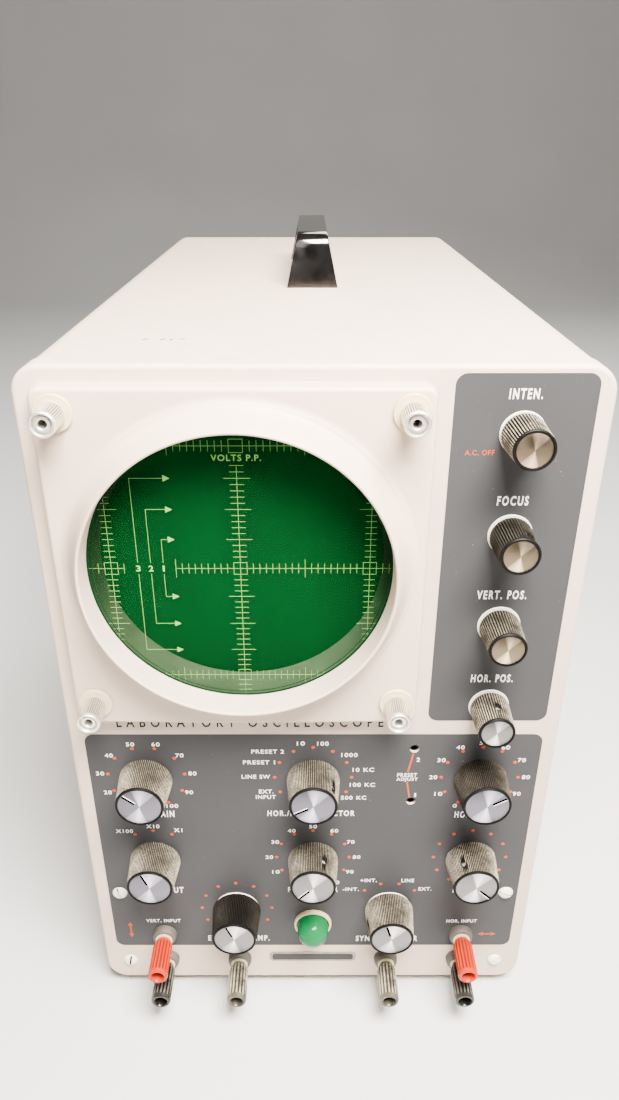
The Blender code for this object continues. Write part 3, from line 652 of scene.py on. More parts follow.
def build_cabinet():
    """The wrapped cabinet with its louvres and handle slots."""
    loops = []
    front = PANEL_DEPTH + SEAM
    lead = 0.0006
    rings = [(lead, front), (0.0, front + lead), (0.0, DEPTH - lead), (lead, DEPTH)]
    rings += [(SHEET, DEPTH), (SHEET, front)]
    for inset, back in rings:
        flat = outline(WIDTH / 2 - inset, HEIGHT / 2 - inset, CORNER_RADIUS - inset, 12)
        loops.append([at(x, HEIGHT / 2 + z, -back) for x, z in flat])
    mesh = rings_mesh("cabinet_wrap", loops, fill_ends=False)
    tool = bmesh.new()
    hoods = bmesh.new()
    for z in (0.0500, 0.2920):
        for i in range(9):
            y = 0.0780 + 0.0140 * i
            low = at(-WIDTH, z - 0.0235, -y - 0.0052)
            high = at(WIDTH, z + 0.0235, -y - 0.0018)
            box(tool, (low.x, high.y, low.z), (high.x, low.y, high.z))
            for side in (-1, 1):
                louvre_hood(hoods, side, y, z)
    for back in (0.1660, 0.2790):
        centre = at(0.0, HEIGHT, -back)
        half = Vector((0.0147, 0.0018, 0.01))
        box(tool, centre - half, centre + half)
    made = piece("cabinet_wrap", cut(mesh, tool), "case_paint", weighted=True)
    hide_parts("cabinet_shell")
    louvres = piece("cabinet_louvres", to_mesh(hoods, "cabinet_louvres"), "case_paint")
    sheet = louvres.modifiers.new("Sheet", "SOLIDIFY")
    sheet.thickness = 0.0003
    sheet.offset = -1.0


def flare(radius):
    """Reach of the bezel's flare at a distance from the screen's middle."""
    share = (FLARE_RADIUS - radius) / (FLARE_RADIUS - LIP_RADIUS)
    return BEZEL_DEPTH + (LIP_REACH - BEZEL_DEPTH) * max(0.0, share) ** 2.2


def square_radius(angle, half, corner):
    """Distance from the middle to the edge of a rounded square, in a direction."""
    c, s = abs(math.cos(angle)), abs(math.sin(angle))
    c, s = max(c, s), min(c, s)
    reach = half / c
    if reach * s <= half - corner:
        return reach
    inner = half - corner
    along = inner * (c + s)
    return along + math.sqrt(max(0.0, corner**2 - 2 * inner**2 + along**2))


def build_bezel():
    """The pressed bezel: square with rolled edges, drawn forward in a smooth flare round the screen."""
    angles = [2 * math.pi * i / 192 for i in range(192)]
    for quarter in range(4):
        for i in range(-9, 10):
            angles.append(math.pi / 4 + quarter * math.pi / 2 + math.radians(0.45 * i))
    angles = sorted(set(round(a, 6) for a in angles))
    edge = 0.0018
    wall = 0.0012
    seat = BEZEL_DEPTH + 0.0003
    rows = [("round", OPENING_RADIUS, reach) for reach in (seat, LIP_REACH - 0.0010)]
    lip = (OPENING_RADIUS + LIP_RADIUS) / 2
    half_lip = (LIP_RADIUS - OPENING_RADIUS) / 2
    for degrees in (150, 120, 90, 60):
        angle = math.radians(degrees)
        back = LIP_ROUND * (1 - math.sin(angle))
        rows.append(("round", lip + half_lip * math.cos(angle), LIP_REACH - back))
    for i in range(1, 15):
        radius = LIP_RADIUS + (FLARE_RADIUS - LIP_RADIUS) * i / 14
        rows.append(("round", radius, flare(radius)))
    rows += [("square", inset, BEZEL_DEPTH - drop) for inset, drop in rolled_edge(edge)]
    rows += [
        ("square", 0.0, 0.0003),
        ("square", wall, 0.0003),
        ("square", edge, BEZEL_DEPTH - wall - 0.0006),
        ("round", FLARE_RADIUS, BEZEL_DEPTH - wall),
        ("round", LIP_RADIUS + 0.0035, flare(LIP_RADIUS + 0.0035) - wall),
        ("round", OPENING_RADIUS + wall, BEZEL_DEPTH + 0.0040),
        ("round", OPENING_RADIUS + wall, seat),
    ]
    loops = []
    for kind, size, reach in rows:
        loop = []
        for angle in angles:
            radius, drop = size, 0.0
            if kind == "square":
                radius = square_radius(angle, BEZEL_HALF - size, max(0.0006, 0.0045 - size))
                drop = BEZEL_DROP * max(0.0, -math.sin(angle))
            x = SCREEN[0] + radius * math.cos(angle)
            loop.append(at(x, SCREEN[1] + radius * math.sin(angle) - drop, reach))
        loops.append(loop)
    mesh = rings_mesh("bezel", loops, fill_ends=False)
    made = piece("bezel", mesh, "case_paint", sharp=50.0, weighted=True)
    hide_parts("crt_bezel")


def build_handle():
    """The chromed strap: a rounded section swept along its path, narrowing towards the grip."""
    low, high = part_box("carrying_handle")
    thickness = 0.0024
    bend = 0.0062
    top = high.z - thickness / 2
    front, rear = low.y + thickness / 2, high.y - thickness / 2
    lean = 0.0018
    leg = [(front + lean * i / 8, low.z + (top - bend - low.z) * i / 8) for i in range(9)]
    start = front + lean + bend
    leg += [(start - bend * math.cos(a), top - bend + bend * math.sin(a)) for a in arc_angles(12)]
    grip = rear - front - 2 * (lean + bend)
    path = leg + [(start + grip * i / 20, top) for i in range(1, 20)]
    path += [(front + rear - y, z) for y, z in reversed(leg)]
    rings = []
    sheet_top = BASE_Z + HEIGHT
    for i, (y, z) in enumerate(path):
        before, after = path[max(0, i - 1)], path[min(len(path) - 1, i + 1)]
        along = Vector((0.0, after[0] - before[0], after[1] - before[1])).normalized()
        out = Vector((0.0, -along.z, along.y))
        share = min(1.0, max(0.0, (z - sheet_top) / (top - sheet_top)))
        half = (HANDLE_FOOT_WIDTH + (HANDLE_GRIP_WIDTH - HANDLE_FOOT_WIDTH) * share) / 2
        section = outline(half, thickness / 2, 0.0007, 3)
        rings.append([Vector((x, y, z)) + out * t for x, t in section])
    made = piece("handle_strap", rings_mesh("handle_strap", rings), "chrome", sharp=50.0)
    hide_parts("carrying_handle")


def build_feet_and_rear():
    """Rubber feet and the cord's gland."""
    for corner in ("front_left", "front_right", "rear_left", "rear_right"):
        low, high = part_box(f"foot_{corner}")
        radius = (high.x - low.x) / 2
        tall = BASE_Z - SEAM
        side = radius - 0.0004
        profile = [(0.0, 0.0), (radius - 0.0022, 0.0), (radius - 0.0014, 0.0006), (side, tall - 0.0008)]
        profile += [(side, tall), (0.0022, tall), (0.0022, tall + 0.0040), (0.0, tall + 0.0040)]
        mesh = lathe_mesh(f"pad_{corner}", profile, 48, closed=False, turn=rotation(-90, "X"))
        place = Vector(((low.x + high.x) / 2, (low.y + high.y) / 2, 0.0))
        made = piece(f"pad_{corner}", mesh, "rubber", place=place)
        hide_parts(f"foot_{corner}")
    low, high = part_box("cord_gland")
    x, z = middle("cord_gland")
    outer, bore = (high.x - low.x) / 2, 0.0036
    tail = high.y - FACE_Y - DEPTH
    profile = [(bore, -0.0060), (bore, tail - 0.0004), (bore + 0.0005, tail), (bore + 0.0010, tail)]
    profile += [(outer - 0.0012, 0.0040), (outer - 0.0004, 0.0026), (outer, 0.0018), (outer, SEAM)]
    profile += [(outer - 0.0025, SEAM), (outer - 0.0025, -0.0060)]
    mesh = lathe_mesh("gland_grommet", profile, 48, turn=rotation(180, "Z"))
    made = piece("gland_grommet", mesh, "rubber", place=at(x, z, -DEPTH))
    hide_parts("cord_gland")


# ---------------------------------------------------------------- screen


def rule(shape, flat):
    """Add a ruled mark to the graticule from an outline measured from its centre."""
    skin(shape, slab(flat, SCREEN, RULING_REACH, RULING_REACH + RULING_THICKNESS))


def bar(shape, u0, v0, u1, v1):
    """Add a ruled line between two points, carried on by half its width at each end."""
    rule(shape, stroke(u0, v0, u1, v1, RULING_WIDTH, past=RULING_WIDTH / 2))


def ruled_axis(shape, along, offset, first, last, major, tall, short):
    """A ruled axis with tenth-inch ticks, a tall one every major ticks, inside the screen's circle."""
    limit = OPENING_RADIUS + 0.0020
    tenth = INCH / 10
    for i in range(first, last + 1):
        where = i * tenth
        beside_square = (i + 1) % 20 < 3 and abs(offset) in (0.0, 2 * INCH)
        if math.hypot(where, offset) > limit or beside_square:
            continue
        half = tall if i % major == 0 else short
        if along == "u":
            bar(shape, where, offset - half, where, offset + half)
        else:
            bar(shape, offset - half, where, offset + half, where)
    reach = math.sqrt(max(0.0, limit**2 - offset**2))
    start, end = max(first * tenth, -reach), min(last * tenth, reach)
    if along == "u":
        bar(shape, start, offset, end, offset)
    else:
        bar(shape, offset, start, offset, end)


def ruled_square(shape, u, v, half=0.0026):
    """A small square of ruled lines about (u, v)."""
    for sign in (-1, 1):
        bar(shape, u - half, v + sign * half, u + half, v + sign * half)
        bar(shape, u + sign * half, v - half, u + sign * half, v + half)


def build_rulings():
    """The graticule's rulings: axes in tenths of an inch, small squares, and three calibration brackets."""
    shape = bmesh.new()
    ruled_axis(shape, "u", 0.0, -10, 24, 10, 0.0040, 0.0021)
    ruled_axis(shape, "u", 0.0, -24, -18, 10, 0.0021, 0.0021)
    ruled_axis(shape, "v", 0.0, -24, 17, 5, 0.0050, 0.0026)
    for u in (-20, 20):
        ruled_axis(shape, "v", u * INCH / 10, -13, 13, 10, 0.0046, 0.0021)
    for v in (-20, 20):
        ruled_axis(shape, "u", v * INCH / 10, -14, 14, 10, 0.0036, 0.0021)
    for u, v in ((0, 0), (-20, 0), (20, 0), (0, -20), (0, 20)):
        ruled_square(shape, u * INCH / 10, v * INCH / 10)
    for u, v in ((-0.0402, 0.0381), (-0.0352, 0.0254), (-0.0302, 0.0127)):
        for sign in (-1, 1):
            bar(shape, u, sign * 0.0026, u, sign * v)
            bar(shape, u, sign * v, -0.0270, sign * v)
            rule(shape, arrowhead(-0.0250, sign * v, 1, 0, 0.0026))
    made = piece("graticule_rulings", to_mesh(shape, "graticule_rulings"), "ruling")
    x, z = SCREEN
    for text, u, wide in (("3", -0.0402, 0.0018), ("2", -0.0352, 0.0018), ("1", -0.0302, 0.0007)):
        print_text(f"graticule_{text}", text, x + u, z, 0.0026, wide, "ruling", RULING_REACH)
    print_text("graticule_volts", "VOLTS P.P.", x, z + 0.0462, 0.0025, 0.0185, "ruling", RULING_REACH)


def build_screen():
    """Ruled filter plate, and the tube's face with its phosphor and clear rim behind."""
    plate = [(0.0, PLATE_FRONT), (PLATE_RADIUS - 0.0003, PLATE_FRONT), (PLATE_RADIUS, PLATE_FRONT - 0.0003)]
    plate += [(PLATE_RADIUS, PLATE_BACK), (0.0, PLATE_BACK)]
    made = lathe("filter_plate", SCREEN, plate, "filter", steps=128, closed=False)
    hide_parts("graticule")
    sag = 0.0042
    front = -0.0012
    face = []
    for i in range(13):
        r = PHOSPHOR_RADIUS * i / 12
        face.append((r, front - sag * (r / 0.0622) ** 2))
    edge = face[-1][1]
    face += [(PHOSPHOR_RADIUS, front - 0.0050), (0.0, front - 0.0050)]
    lathe("phosphor_face", SCREEN, face, "phosphor", steps=128, closed=False)
    rim = [(PHOSPHOR_RADIUS, edge), (0.0605, edge - 0.0002), (0.0650, edge - 0.0008), (0.0715, edge - 0.0016)]
    rim += [(0.0715, edge - 0.0040), (PHOSPHOR_RADIUS, edge - 0.0040)]
    lathe("tube_rim", SCREEN, rim, "tube_edge", steps=128)
    near = PLATE_FRONT + 0.0001
    for number, (inner, outer) in enumerate(((0.0590, 0.0597), (0.0577, 0.0580)), 1):
        line = [(inner, near), (outer, near), (outer, PLATE_FRONT), (inner, PLATE_FRONT)]
        lathe(f"plate_edge_{number}", SCREEN, line, "plate_edge", steps=128)


# ---------------------------------------------------------------- lettering


def text_mesh(text, cap_height, width, shear, weight, spacing):
    """Flat lettering as a mesh about its own middle, fitted to a cap height and a width."""
    curve = bpy.data.curves.new("lettering", "FONT")
    curve.body = text
    curve.shear = shear
    curve.offset = weight
    curve.space_character = spacing
    curve.resolution_u = 3
    curve.extrude = 0.5
    holder = show("lettering", curve)
    mesh = bpy.data.meshes.new_from_object(holder.evaluated_get(bpy.context.evaluated_depsgraph_get()))
    bpy.data.objects.remove(holder, do_unlink=True)
    bpy.data.curves.remove(curve)
    xs = [v.co.x for v in mesh.vertices]
    ys = [v.co.y for v in mesh.vertices]
    sx = width / (max(xs) - min(xs))
    sy = cap_height / (max(ys) - min(ys))
    shift = Matrix.Translation((-(min(xs) + max(xs)) / 2, -(min(ys) + max(ys)) / 2, 0.0))
    mesh.transform(Matrix.Diagonal((sx, sy, 0.00006, 1.0)) @ shift)
    mesh.transform(rotation(90, "X"))
    return mesh


def print_text(name, text, x, z, cap_height, width, look="white_ink", reach=INK_REACH, **style):
    """Printed words about a point, with a cap height and a width."""
    settings = {"shear": 0.0, "weight": 0.010, "spacing": 1.15, **style}
    mesh = text_mesh(text, cap_height, width, **settings)
    mesh.name = name
    return piece(name, mesh, look, place=at(x, z, reach + 0.00004))


def print_dots(name, places):
    """Orange dots printed at their places (x, z)."""
    shape = bmesh.new()
    for x, z in places:
        cylinder(shape, at(x, z, 0.00049), DOT_RADIUS, 0.00006, steps=20)
    piece(name, to_mesh(shape, name), "orange_ink")


def round_scale(knob, first, last, step):
    """Places on a knob's scale circle, angles in degrees clockwise from the top."""
    x, z = middle(knob)
    places = []
    angle = first
    while angle <= last + 0.01:
        turn = math.radians(angle)
        places.append((x + SCALE_RADIUS * math.sin(turn), z + SCALE_RADIUS * math.cos(turn)))
        angle += step
    return places


def build_lettering():
    """Titles, scale names and numbers, each a word or two at its place with its width."""
    titles = [
        ("INTEN.", 0.0766, 0.3228, 0.0040, 0.0122),
        ("FOCUS", 0.0765, 0.2807, 0.0040, 0.0121),
        ("VERT. POS.", 0.0768, 0.2389, 0.0041, 0.0202),
        ("HOR. POS.", 0.0770, 0.1973, 0.0041, 0.0181),
        ("VERT. GAIN", -0.0766, 0.1187, 0.0041, 0.0214),
        ("HOR./FREQ. SELECTOR", -0.0010, 0.1187, 0.0041, 0.0414),
        ("HOR. GAIN", 0.0768, 0.1182, 0.0041, 0.0190),
        ("VERT. INPUT", -0.0772, 0.0670, 0.0041, 0.0240),
        ("FREQ. VERNIER", 0.0000, 0.0670, 0.0041, 0.0250),
        ("PHASE", 0.0770, 0.0670, 0.0041, 0.0130),
        ("EXT. SYNC AMP.", -0.0387, 0.0310, 0.0041, 0.0322),
        ("SYNC SELECTOR", 0.0387, 0.0306, 0.0041, 0.0322),
    ]
    for text, x, z, tall, wide in titles:
        name = "title_" + "".join(c if c.isalnum() else "_" for c in text.lower())
        print_text(f"{name}_{round(z * 1000)}", text, x, z, tall, wide, **TITLE_STYLE)
    labels = [
        ("EXT.", -0.0219, 0.1327, 0.0068),
        ("INPUT", -0.0222, 0.1293, 0.0093),
        ("LINE SW", -0.0265, 0.1418, 0.0131),
        ("PRESET 1", -0.0248, 0.1504, 0.0146),
        ("PRESET 2", -0.0207, 0.1567, 0.0148),
        ("10", -0.0056, 0.1614, 0.0036),
        ("100", 0.0044, 0.1613, 0.0052),
        ("1000", 0.0165, 0.1547, 0.0074),
        ("10 KC", 0.0231, 0.1459, 0.0099),
        ("100 KC", 0.0229, 0.1368, 0.0117),
        ("500 KC", 0.0190, 0.1288, 0.0119),
        ("X100", -0.0908, 0.1075, 0.0082),
        ("X10", -0.0769, 0.1106, 0.0063),
        ("X1", -0.0649, 0.1081, 0.0040),
        ("+INT.", 0.0279, 0.0737, 0.0081),
        ("-INT.", 0.0191, 0.0674, 0.0082),
        ("LINE", 0.0475, 0.0736, 0.0063),
        ("EXT.", 0.0565, 0.0676, 0.0065),
        ("PRESET", 0.0434, 0.1427, 0.0092),
        ("ADJUST", 0.0435, 0.1399, 0.0098),
        ("2", 0.0480, 0.1519, 0.0015),
        ("1", 0.0478, 0.1305, 0.0008),
        ("VERT. INPUT", -0.0772, 0.0443, 0.0177),
        ("HOR. INPUT", 0.0770, 0.0439, 0.0156),
    ]
    for number, (text, x, z, wide) in enumerate(labels, 1):
        print_text(f"label_{number:02d}", text, x, z, SMALL_PRINT, wide)
    print_text("label_ac_off", "A.C. OFF", 0.0619, 0.3003, 0.0021, 0.0111, "orange_ink")
    print_text("label_kind", "LABORATORY OSCILLOSCOPE", -0.0282, 0.1734, 0.0054, 0.1190, **KIND_STYLE)

    tens = [str(number) for number in range(0, 101, 10)]
    print_numbers("vertical_gain", "knob_vertical_gain", -150, 33.333, tens[1:])
    print_numbers("horizontal_gain", "knob_horizontal_gain", -150, 30, tens)
    print_numbers("vernier", "knob_frequency_vernier", -150, 30, tens)
    for name, knob, half in (
        ("knob_phase", "phase", 150),
        ("knob_sync_amplitude", "sync_amplitude", 150),
        ("frequency", "frequency_selector", 120),
        ("attenuator", "input_attenuator", 30),
        ("sync", "sync_selector", 45),
    ):
        print_dots(f"dots_{name}", round_scale(f"knob_{knob}", -half, half, 30))


def print_numbers(name, knob, first, step, numbers):
    """Dots round a knob with a number outside each."""
    last = first + step * (len(numbers) - 1)
    places = round_scale(knob, first, last, step)
    print_dots(f"dots_{name}", places)
    x0, z0 = middle(knob)
    for text, (x, z) in zip(numbers, places):
        along = (x - x0) / SCALE_RADIUS
        up = (z - z0) / SCALE_RADIUS
        wide = 0.0018 * len(text) + 0.0001
        tx = x0 + (SCALE_RADIUS + 0.0018 + wide / 2 * abs(along)) * along
        tz = z0 + (SCALE_RADIUS + 0.0026) * up
        print_text(f"scale_{name}_{text}", text, tx, tz, SMALL_PRINT, wide)


def build_scuffs():
    """Four short dark rubs on the top of the cabinet, near its left front corner."""
    shape = bmesh.new()
    for x, back, length, turn in (
        (-0.0677, 0.0415, 0.0036, 42),
        (-0.0606, 0.0413, 0.0038, 60),
        (-0.0571, 0.0408, 0.0022, 95),
        (-0.0526, 0.0420, 0.0026, 30),
    ):
        place = Matrix.Translation(at(x, HEIGHT + 0.00002, -back)) @ rotation(turn, "Z")
        size = Matrix.Diagonal((length / 2, 0.00055, 0.00004, 1.0))
        bmesh.ops.create_uvsphere(shape, u_segments=12, v_segments=6, radius=1.0, matrix=place @ size)
    piece("lid_scuffs", to_mesh(shape, "lid_scuffs"), "black_and_hole_shade")


def build_markings():
    """Orange arrows and preset leaders, and the blank plate under the controls."""
    shape = bmesh.new()
    marks = [
        stroke(-0.0946, 0.0340, -0.0946, 0.0410, MARK_WIDTH),
        arrowhead(-0.0946, 0.0432, 0, 1, ARROW_LENGTH),
        arrowhead(-0.0946, 0.0318, 0, -1, ARROW_LENGTH),
        stroke(0.0885, 0.0340, 0.0935, 0.0340, MARK_WIDTH),
        arrowhead(0.0957, 0.0340, 1, 0, ARROW_LENGTH),
        arrowhead(0.0863, 0.0340, -1, 0, ARROW_LENGTH),
        stroke(0.0456, 0.1554, 0.0436, 0.1446, MARK_WIDTH),
        stroke(0.0436, 0.1384, 0.0452, 0.1290, MARK_WIDTH),
    ]
    for flat in marks:
        skin(shape, slab(flat, (0.0, 0.0), *MARK_REACH))
    piece("orange_marks", to_mesh(shape, "orange_marks"), "orange_ink")

    for name, half, tall, radius, reach, look in (
        ("name_plate", 0.0229, 0.0034, 0.0024, 0.00075, "plate_metal"),
        ("name_plate_field", 0.0214, 0.0022, 0.0014, 0.00090, "plate_dark"),
    ):
        flat = outline(half, tall, radius, 6)
        piece(name, rings_mesh(name, slab(flat, (0.0, 0.0165), 0.0004, reach)), look)


# ---------------------------------------------------------------- controls


def build_knob(name, kind, grime, disc_look, pointer=None, screw=None, washer=None):
    """A ridged knob with a spun disc let into its face; pointer is clockwise from the top in degrees."""
    base, face = kind["base"], kind["face"]
    x, z = middle(name)
    rear = KNOB_LIFT
    front = KNOB_REACH
    disc = face - 0.0012
    profile = [(0.0, front - 0.0006), (disc + 0.00005, front - 0.0006), (disc + 0.00005, front - 0.0001)]
    profile += [(disc + 0.0002, front), (face - 0.0004, front), (face - 0.0001, front - 0.0003)]
    profile.append((face, front - 0.0008, 0.15))
    for share in (0.0, 0.35, 0.65, 1.0):
        radius = face + (base - face) * share
        reach = front - 0.0012 + (rear + 0.0012 - front + 0.0012) * share
        profile.append((radius, reach, 1.0))
    profile += [(base - 0.0005, rear + 0.0004), (base - 0.0012, rear), (SHAFT_RADIUS, rear)]
    profile += [(SHAFT_RADIUS, -0.0180), (0.0, -0.0180)]
    steps = kind["ridges"] * (4 if kind is WIDE else 6)
    mesh = lathe_mesh(f"{name}_grip", profile, steps, kind["ridges"], KNOB_RIDGE_DEPTH, grime, closed=False)
    if screw is not None:
        angle, reach = screw
        floor = (base + face) / 2 - 0.0026
        turn = rotation(angle, "Y")
        hole = bmesh.new()
        cylinder(hole, Vector((0.0, -reach, floor + 0.0050)), 0.00125, 0.0100, "Z", 24)
        mesh = cut(mesh, hole, turn)
        slug = bmesh.new()
        cylinder(slug, Vector((0.0, -reach, floor + 0.0006)), 0.00115, 0.0012, "Z", 24)
        piece(f"{name}_set_screw", to_mesh(slug, f"{name}_set_screw", turn), "nickel", name, at(x, z))
    body = piece(f"{name}_grip", mesh, "knob_plastic", name, at(x, z))
    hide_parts(name)
    plate = [(0.0, 0.0002), (disc - 0.0003, 0.0002), (disc, 0.0004), (disc, 0.0006), (0.0, 0.0006)]
    lathe(f"{name}_disc", name, behind(front, plate), disc_look, body=name, steps=96, closed=False)
    if pointer is not None:
        turn = rotation(pointer, "Y")
        # The black line is print; the thin white strip beside it is a painted highlight on the line's edge
        for part, side, width, look in (
            ("line", 0.0, 0.00115, "black_and_hole_shade"),
            ("line_highlight", 0.00074, 0.00033, "white_ink"),
        ):
            shape = bmesh.new()
            box(shape, (side - width / 2, -0.00006, 0.0026), (side + width / 2, 0.0, disc - 0.0003))
            mesh = to_mesh(shape, f"{name}_{part}", turn)
            piece(f"{name}_{part}", mesh, look, name, at(x, z, front - 0.0002))
    if washer is not None:
        ring = [(0.0045, 0.0009), (washer - 0.0002, 0.0009), (washer, 0.0007)]
        ring += [(washer, 0.0005), (0.0045, 0.0005)]
        lathe(f"{name}_washer", name, ring, "white_enamel", steps=64)


def build_knobs():
    """Every knob with its kind, its grime from 0 to 1, its disc, and its pointer, set screw and washer."""
    build_knob("knob_intensity", NARROW, 0.95, "spun_warm", washer=0.0086)
    build_knob("knob_focus", NARROW, 0.11, "spun_warm", screw=(30, 0.0146), washer=0.0088)
    build_knob("knob_vertical_position", NARROW, 0.45, "spun_warm", washer=0.0089)
    build_knob("knob_horizontal_position", NARROW, 0.90, "spun_bright", screw=(8, 0.0115), washer=0.0088)
    build_knob("knob_vertical_gain", WIDE, 0.95, "spun_cool", pointer=-49.5)
    build_knob("knob_frequency_selector", WIDE, 0.80, "spun_cool", pointer=-118.0, screw=(55, 0.0135))
    build_knob("knob_horizontal_gain", WIDE, 0.20, "spun_cool", pointer=59.6)
    build_knob("knob_input_attenuator", WIDE, 1.00, "spun_cool", pointer=-21.3)
    build_knob("knob_frequency_vernier", WIDE, 0.75, "spun_bright", pointer=-136.3, screw=(28, 0.0120))
    build_knob("knob_phase", WIDE, 1.00, "spun_bright", pointer=133.6, screw=(-32, 0.0130))
    build_knob("knob_sync_amplitude", WIDE, 0.05, "spun_bright", pointer=-22.4, washer=0.0112)
    build_knob("knob_sync_selector", WIDE, 1.00, "spun_bright", -16.4, screw=(-80, 0.0120), washer=0.0112)


POSTS = {
    "vertical_signal": "red_plastic",
    "vertical_ground": "black_plastic",
    "sync": "worn_sheen_plastic",
    "test_signal": "worn_sheen_plastic",
    "horizontal_signal": "red_plastic",
    "horizontal_ground": "black_plastic",
}


def build_posts():
    """Binding posts: grey collars, metal studs and fluted screw caps."""
    for name, look in POSTS.items():
        front = FACE_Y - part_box(f"cap_{name}")[0].y
        radius = 0.0050
        side = radius - 0.0001
        collar = [(0.0, 0.0045), (0.0026, 0.0045), (0.0048, 0.0044), (0.0055, 0.0040), (0.0060, 0.0030)]
        collar += [(0.0061, 0.0018), (0.0061, 0.0003), (0.0034, 0.0003), (0.0034, -0.0110), (0.0, -0.0110)]
        made = lathe(f"collar_{name}", f"post_{name}", collar, "collar_plastic", steps=48, closed=False)
        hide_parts(f"post_{name}")
        stud = behind(front, [(0.0, 0.0056), (0.0009, 0.0057), (0.0016, 0.0064), (0.0019, 0.0075)])
        stud += [(0.0019, 0.0040), (0.0, 0.0040)]
        lathe(f"stud_{name}", f"post_{name}", stud, "nickel", steps=24, closed=False)
        ring = [(0.0022, 0.0050), (0.0040, 0.0050), (0.0043, 0.0048), (0.0043, 0.0044), (0.0022, 0.0044)]
        lathe(f"ring_{name}", f"post_{name}", ring, "cream", steps=32)
        rim = [(0.0029, 0.0055), (0.0031, 0.0006), (0.0034, 0.0001), (0.0042, 0.0), (0.0047, 0.0004)]
        rim += [(radius, 0.0016), (side, 0.0022, 0.6), (side, 0.0032, 1.0)]
        profile = behind(front, rim)
        profile += [(side, 0.0105, 1.0), (radius - 0.0002, 0.0085, 1.0), (radius - 0.0006, 0.0072, 0.8)]
        profile += [(radius - 0.0013, 0.0060), (radius - 0.0016, 0.0052), (0.0024, 0.0052)]
        profile.append((0.0024, front - 0.0058))
        flutes = {"steps": 160, "ridges": 16, "ridge_depth": 0.00065}
        cap = lathe(f"screw_cap_{name}", f"cap_{name}", profile, look, body=f"cap_{name}", **flutes)
        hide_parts(f"cap_{name}")


def build_thumb_nuts():
    """Knurled nuts with a hollow front, and their cream washers."""
    for corner in ("top_left", "top_right", "bottom_left", "bottom_right"):
        node = f"thumb_nut_{corner}"
        front = FACE_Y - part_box(node)[0].y
        seat = BEZEL_DEPTH + 0.0003
        radius = 0.0048
        side = radius - 0.0001
        rim = [(0.0017, 0.0070), (0.0017, 0.0012), (0.0020, 0.0009), (0.0028, 0.0009)]
        rim += [(0.0029, 0.0030), (0.0037, 0.0030), (0.0038, 0.0003), (0.0040, 0.0), (0.0044, 0.0)]
        rim += [(side, 0.0003), (side, 0.0016), (radius, 0.0020, 1.0), (radius, 0.0060, 1.0)]
        profile = behind(front, rim)
        profile += [(radius, seat + 0.0020, 1.0), (radius - 0.0005, seat + 0.0012), (0.0021, seat + 0.0012)]
        profile.append((0.0021, front - 0.0072))
        knurl = {"steps": 192, "ridges": 32, "ridge_depth": 0.00055}
        nut = lathe(f"{node}_knurled", node, profile, "nickel", body=node, **knurl)
        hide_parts(node)
        ring = [(0.0023, seat + 0.0011), (0.0069, seat + 0.0011), (0.0072, seat + 0.0008)]
        ring += [(0.0072, seat), (0.0023, seat)]
        lathe(f"{node}_washer", node, ring, "cream", body=node, steps=48)
        # The stud is black as painted shade in the nut's hollow bore
        bore_shade_profile = behind(front, [(0.0, 0.0078), (0.0015, 0.0078)])
        bore_shade_profile += [(0.0015, seat - 0.0004), (0.0, seat - 0.0004)]
        lathe(f"{node}_stud", node, bore_shade_profile, "black_and_hole_shade", steps=24, closed=False)


def build_pilot_lamp():
    """The lamp's cream ring and its domed green jewel."""
    ring = [(0.0083, -0.0010), (0.0083, 0.0022), (0.0086, 0.0025), (0.0091, 0.0025), (0.0095, 0.0021)]
    ring += [(0.0096, 0.0015), (0.0096, 0.0003), (0.0080, 0.0003), (0.0080, -0.0010)]
    made = lathe("pilot_ring", "pilot_holder", ring, "cream", steps=64)
    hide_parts("pilot_holder")
    dome = arc((0.0, 0.0054), 0.0079, 90, 0, 16)
    dome[0] = (0.0, 0.0133)
    hollow = arc((0.0, 0.0054), 0.0067, 0, 90, 10)
    hollow[-1] = (0.0, 0.0121)
    lens = dome + [(0.0079, -0.0005), (0.0067, -0.0005)] + hollow
    made = lathe("jewel_lens", "pilot_jewel", lens, "jewel", steps=64, closed=False)
    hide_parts("pilot_jewel")


def build_screws():
    """Slotted pan-head screws."""
    slots = {"left_middle": 72, "right_middle": 20, "left_bottom": 100, "right_bottom": 140}
    for name, degrees in slots.items():
        node = f"screw_{name}"
        turn = rotation(degrees, "Y")
        x, z = middle(node)
        head = [(0.0, 0.0022), (0.0012, 0.0022), (0.0024, 0.0019), (0.0032, 0.0013), (0.0036, 0.0007)]
        head += [(0.0037, 0.0003), (0.0014, 0.0003), (0.0014, -0.0080), (0.0, -0.0080)]
        mesh = lathe_mesh(node, head, 48, closed=False)
        tool = bmesh.new()
        box(tool, (-0.0050, -0.0040, -0.00048), (0.0050, -0.0009, 0.00048))
        # A black bar at the slot's floor: painted shade in the slot
        floor = bmesh.new()
        box(floor, (-0.0033, -0.0010, -0.00046), (0.0033, -0.0009, 0.00046))
        slot_shade_mesh = to_mesh(floor, f"{node}_slot", turn)
        piece(f"{node}_slot", slot_shade_mesh, "black_and_hole_shade", place=at(x, z, 0.0002))
        made = piece(f"{node}_head", cut(mesh, tool, turn), "white_enamel", place=at(x, z, 0.0002))
        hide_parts(node)


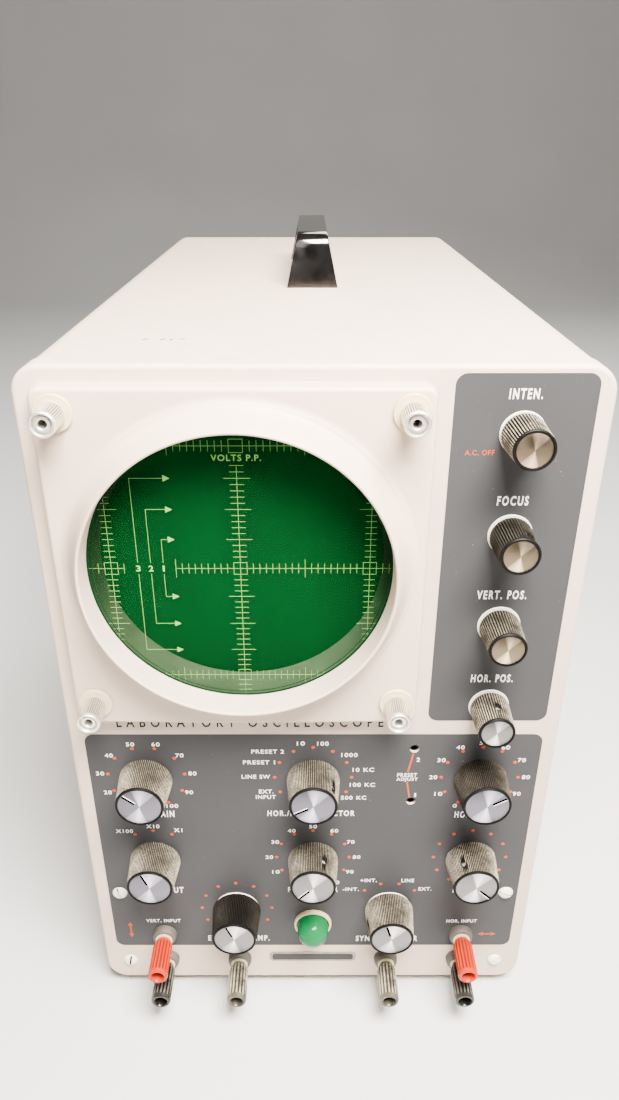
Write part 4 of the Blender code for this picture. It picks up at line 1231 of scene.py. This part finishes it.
def dress_cad_nodes():
    """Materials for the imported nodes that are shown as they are."""
    looks = {
        "rear_panel": "case_paint",
        "cathode_ray_tube": "clear_face",
        "crt_shield": "zinc",
        "crt_socket": "black_plastic",
        "pilot_bulb": "glass",
        # The preset shafts are black as painted shade inside their panel holes
        "preset_shaft_1": "black_and_hole_shade",
        "preset_shaft_2": "black_and_hole_shade",
        "upper_control_bracket": "zinc",
        "lower_control_bracket": "zinc",
        "chassis_deck": "zinc",
        "circuit_board": "resin_board",
        "power_transformer": "varnished_core",
        "filter_capacitor": "zinc",
        "valve_vertical": "glass",
        "valve_sweep": "glass",
        "valve_sync": "glass",
    }
    for name, look in looks.items():
        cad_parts[name].material_slots[0].material = LOOKS[look]


# ---------------------------------------------------------------- stage


def build_stage():
    """Pale floor and backdrop, soft lights and the camera."""
    look = Look("floor", (0.60, 0.59, 0.575), 0.65)
    tone = look.patches(0.3, 0.7, 0.25, 3.0)
    look.feed(look.mix(tone, (0.585, 0.575, 0.56), (0.615, 0.605, 0.59)), "Base Color")
    shape = bmesh.new()
    sweep = [(-5.0, 0.0), (1.8, 0.0)]
    sweep += [(1.8 + 1.2 * math.sin(a), 1.2 - 1.2 * math.cos(a)) for a in arc_angles(16)]
    sweep.append((3.0, 4.0))
    rows = [[shape.verts.new((x, y, z)) for x in (-6.0, 6.0)] for y, z in sweep]
    for a, b in zip(rows, rows[1:]):
        shape.faces.new((a[0], a[1], b[1], b[0]))
    mesh = bpy.data.meshes.new("floor")
    shape.to_mesh(mesh)
    shape.free()
    mesh.shade_smooth()
    mesh.materials.append(look.material)
    floor = show("floor", mesh)

    world = bpy.context.scene.world or bpy.data.worlds.new("studio")
    bpy.context.scene.world = world
    world.use_nodes = True
    background = world.node_tree.nodes["Background"]
    background.inputs["Color"].default_value = (0.97, 0.97, 1.0, 1.0)
    background.inputs["Strength"].default_value = 0.20

    def lamp(name, place, target, size, power, colour):
        """A rectangular light aimed at a target."""
        light = bpy.data.lights.new(name, "AREA")
        light.shape = "RECTANGLE"
        light.size, light.size_y = size
        light.energy = power
        light.color = colour
        made = show(name, light)
        made.location = place
        made.rotation_euler = (Vector(target) - Vector(place)).to_track_quat("-Z", "Y").to_euler()

    lamp("key", (0.14, -0.47, 0.82), (0.0, -0.15, 0.32), (0.42, 0.30), 68.0, (1.0, 0.95, 0.88))
    lamp("fill", (-0.6, -1.4, 0.95), (0.0, -0.1, 0.20), (1.0, 1.0), 5.0, (0.98, 0.98, 1.0))
    lamp("rim", (0.4, 0.9, 1.3), (0.0, 0.1, 0.25), (0.9, 0.9), 26.0, (1.0, 0.98, 0.95))

    data = bpy.data.cameras.new("camera")
    data.lens = 26.55
    data.sensor_width = 36.0
    data.clip_start = 0.02
    camera = show("camera", data)
    camera.location = (-0.001965, FACE_Y - 0.28675, BASE_Z + 0.405906)
    camera.rotation_euler = (math.radians(90 - 27.085), 0.0, math.radians(-0.055))
    bpy.context.scene.camera = camera


build_cabinet()
build_front_panel()
painted_area("upper_dark_area", 0.0508, 0.1032, 0.1743, 0.3304)
painted_area("lower_dark_area", -0.1031, 0.1034, 0.0254, 0.1667, [middle(node) for node in PRESETS])
build_bezel()
build_screen()
build_rulings()
build_handle()
build_feet_and_rear()
build_lettering()
build_markings()
build_scuffs()
build_knobs()
build_posts()
build_thumb_nuts()
build_pilot_lamp()
build_screws()
dress_cad_nodes()
build_stage()
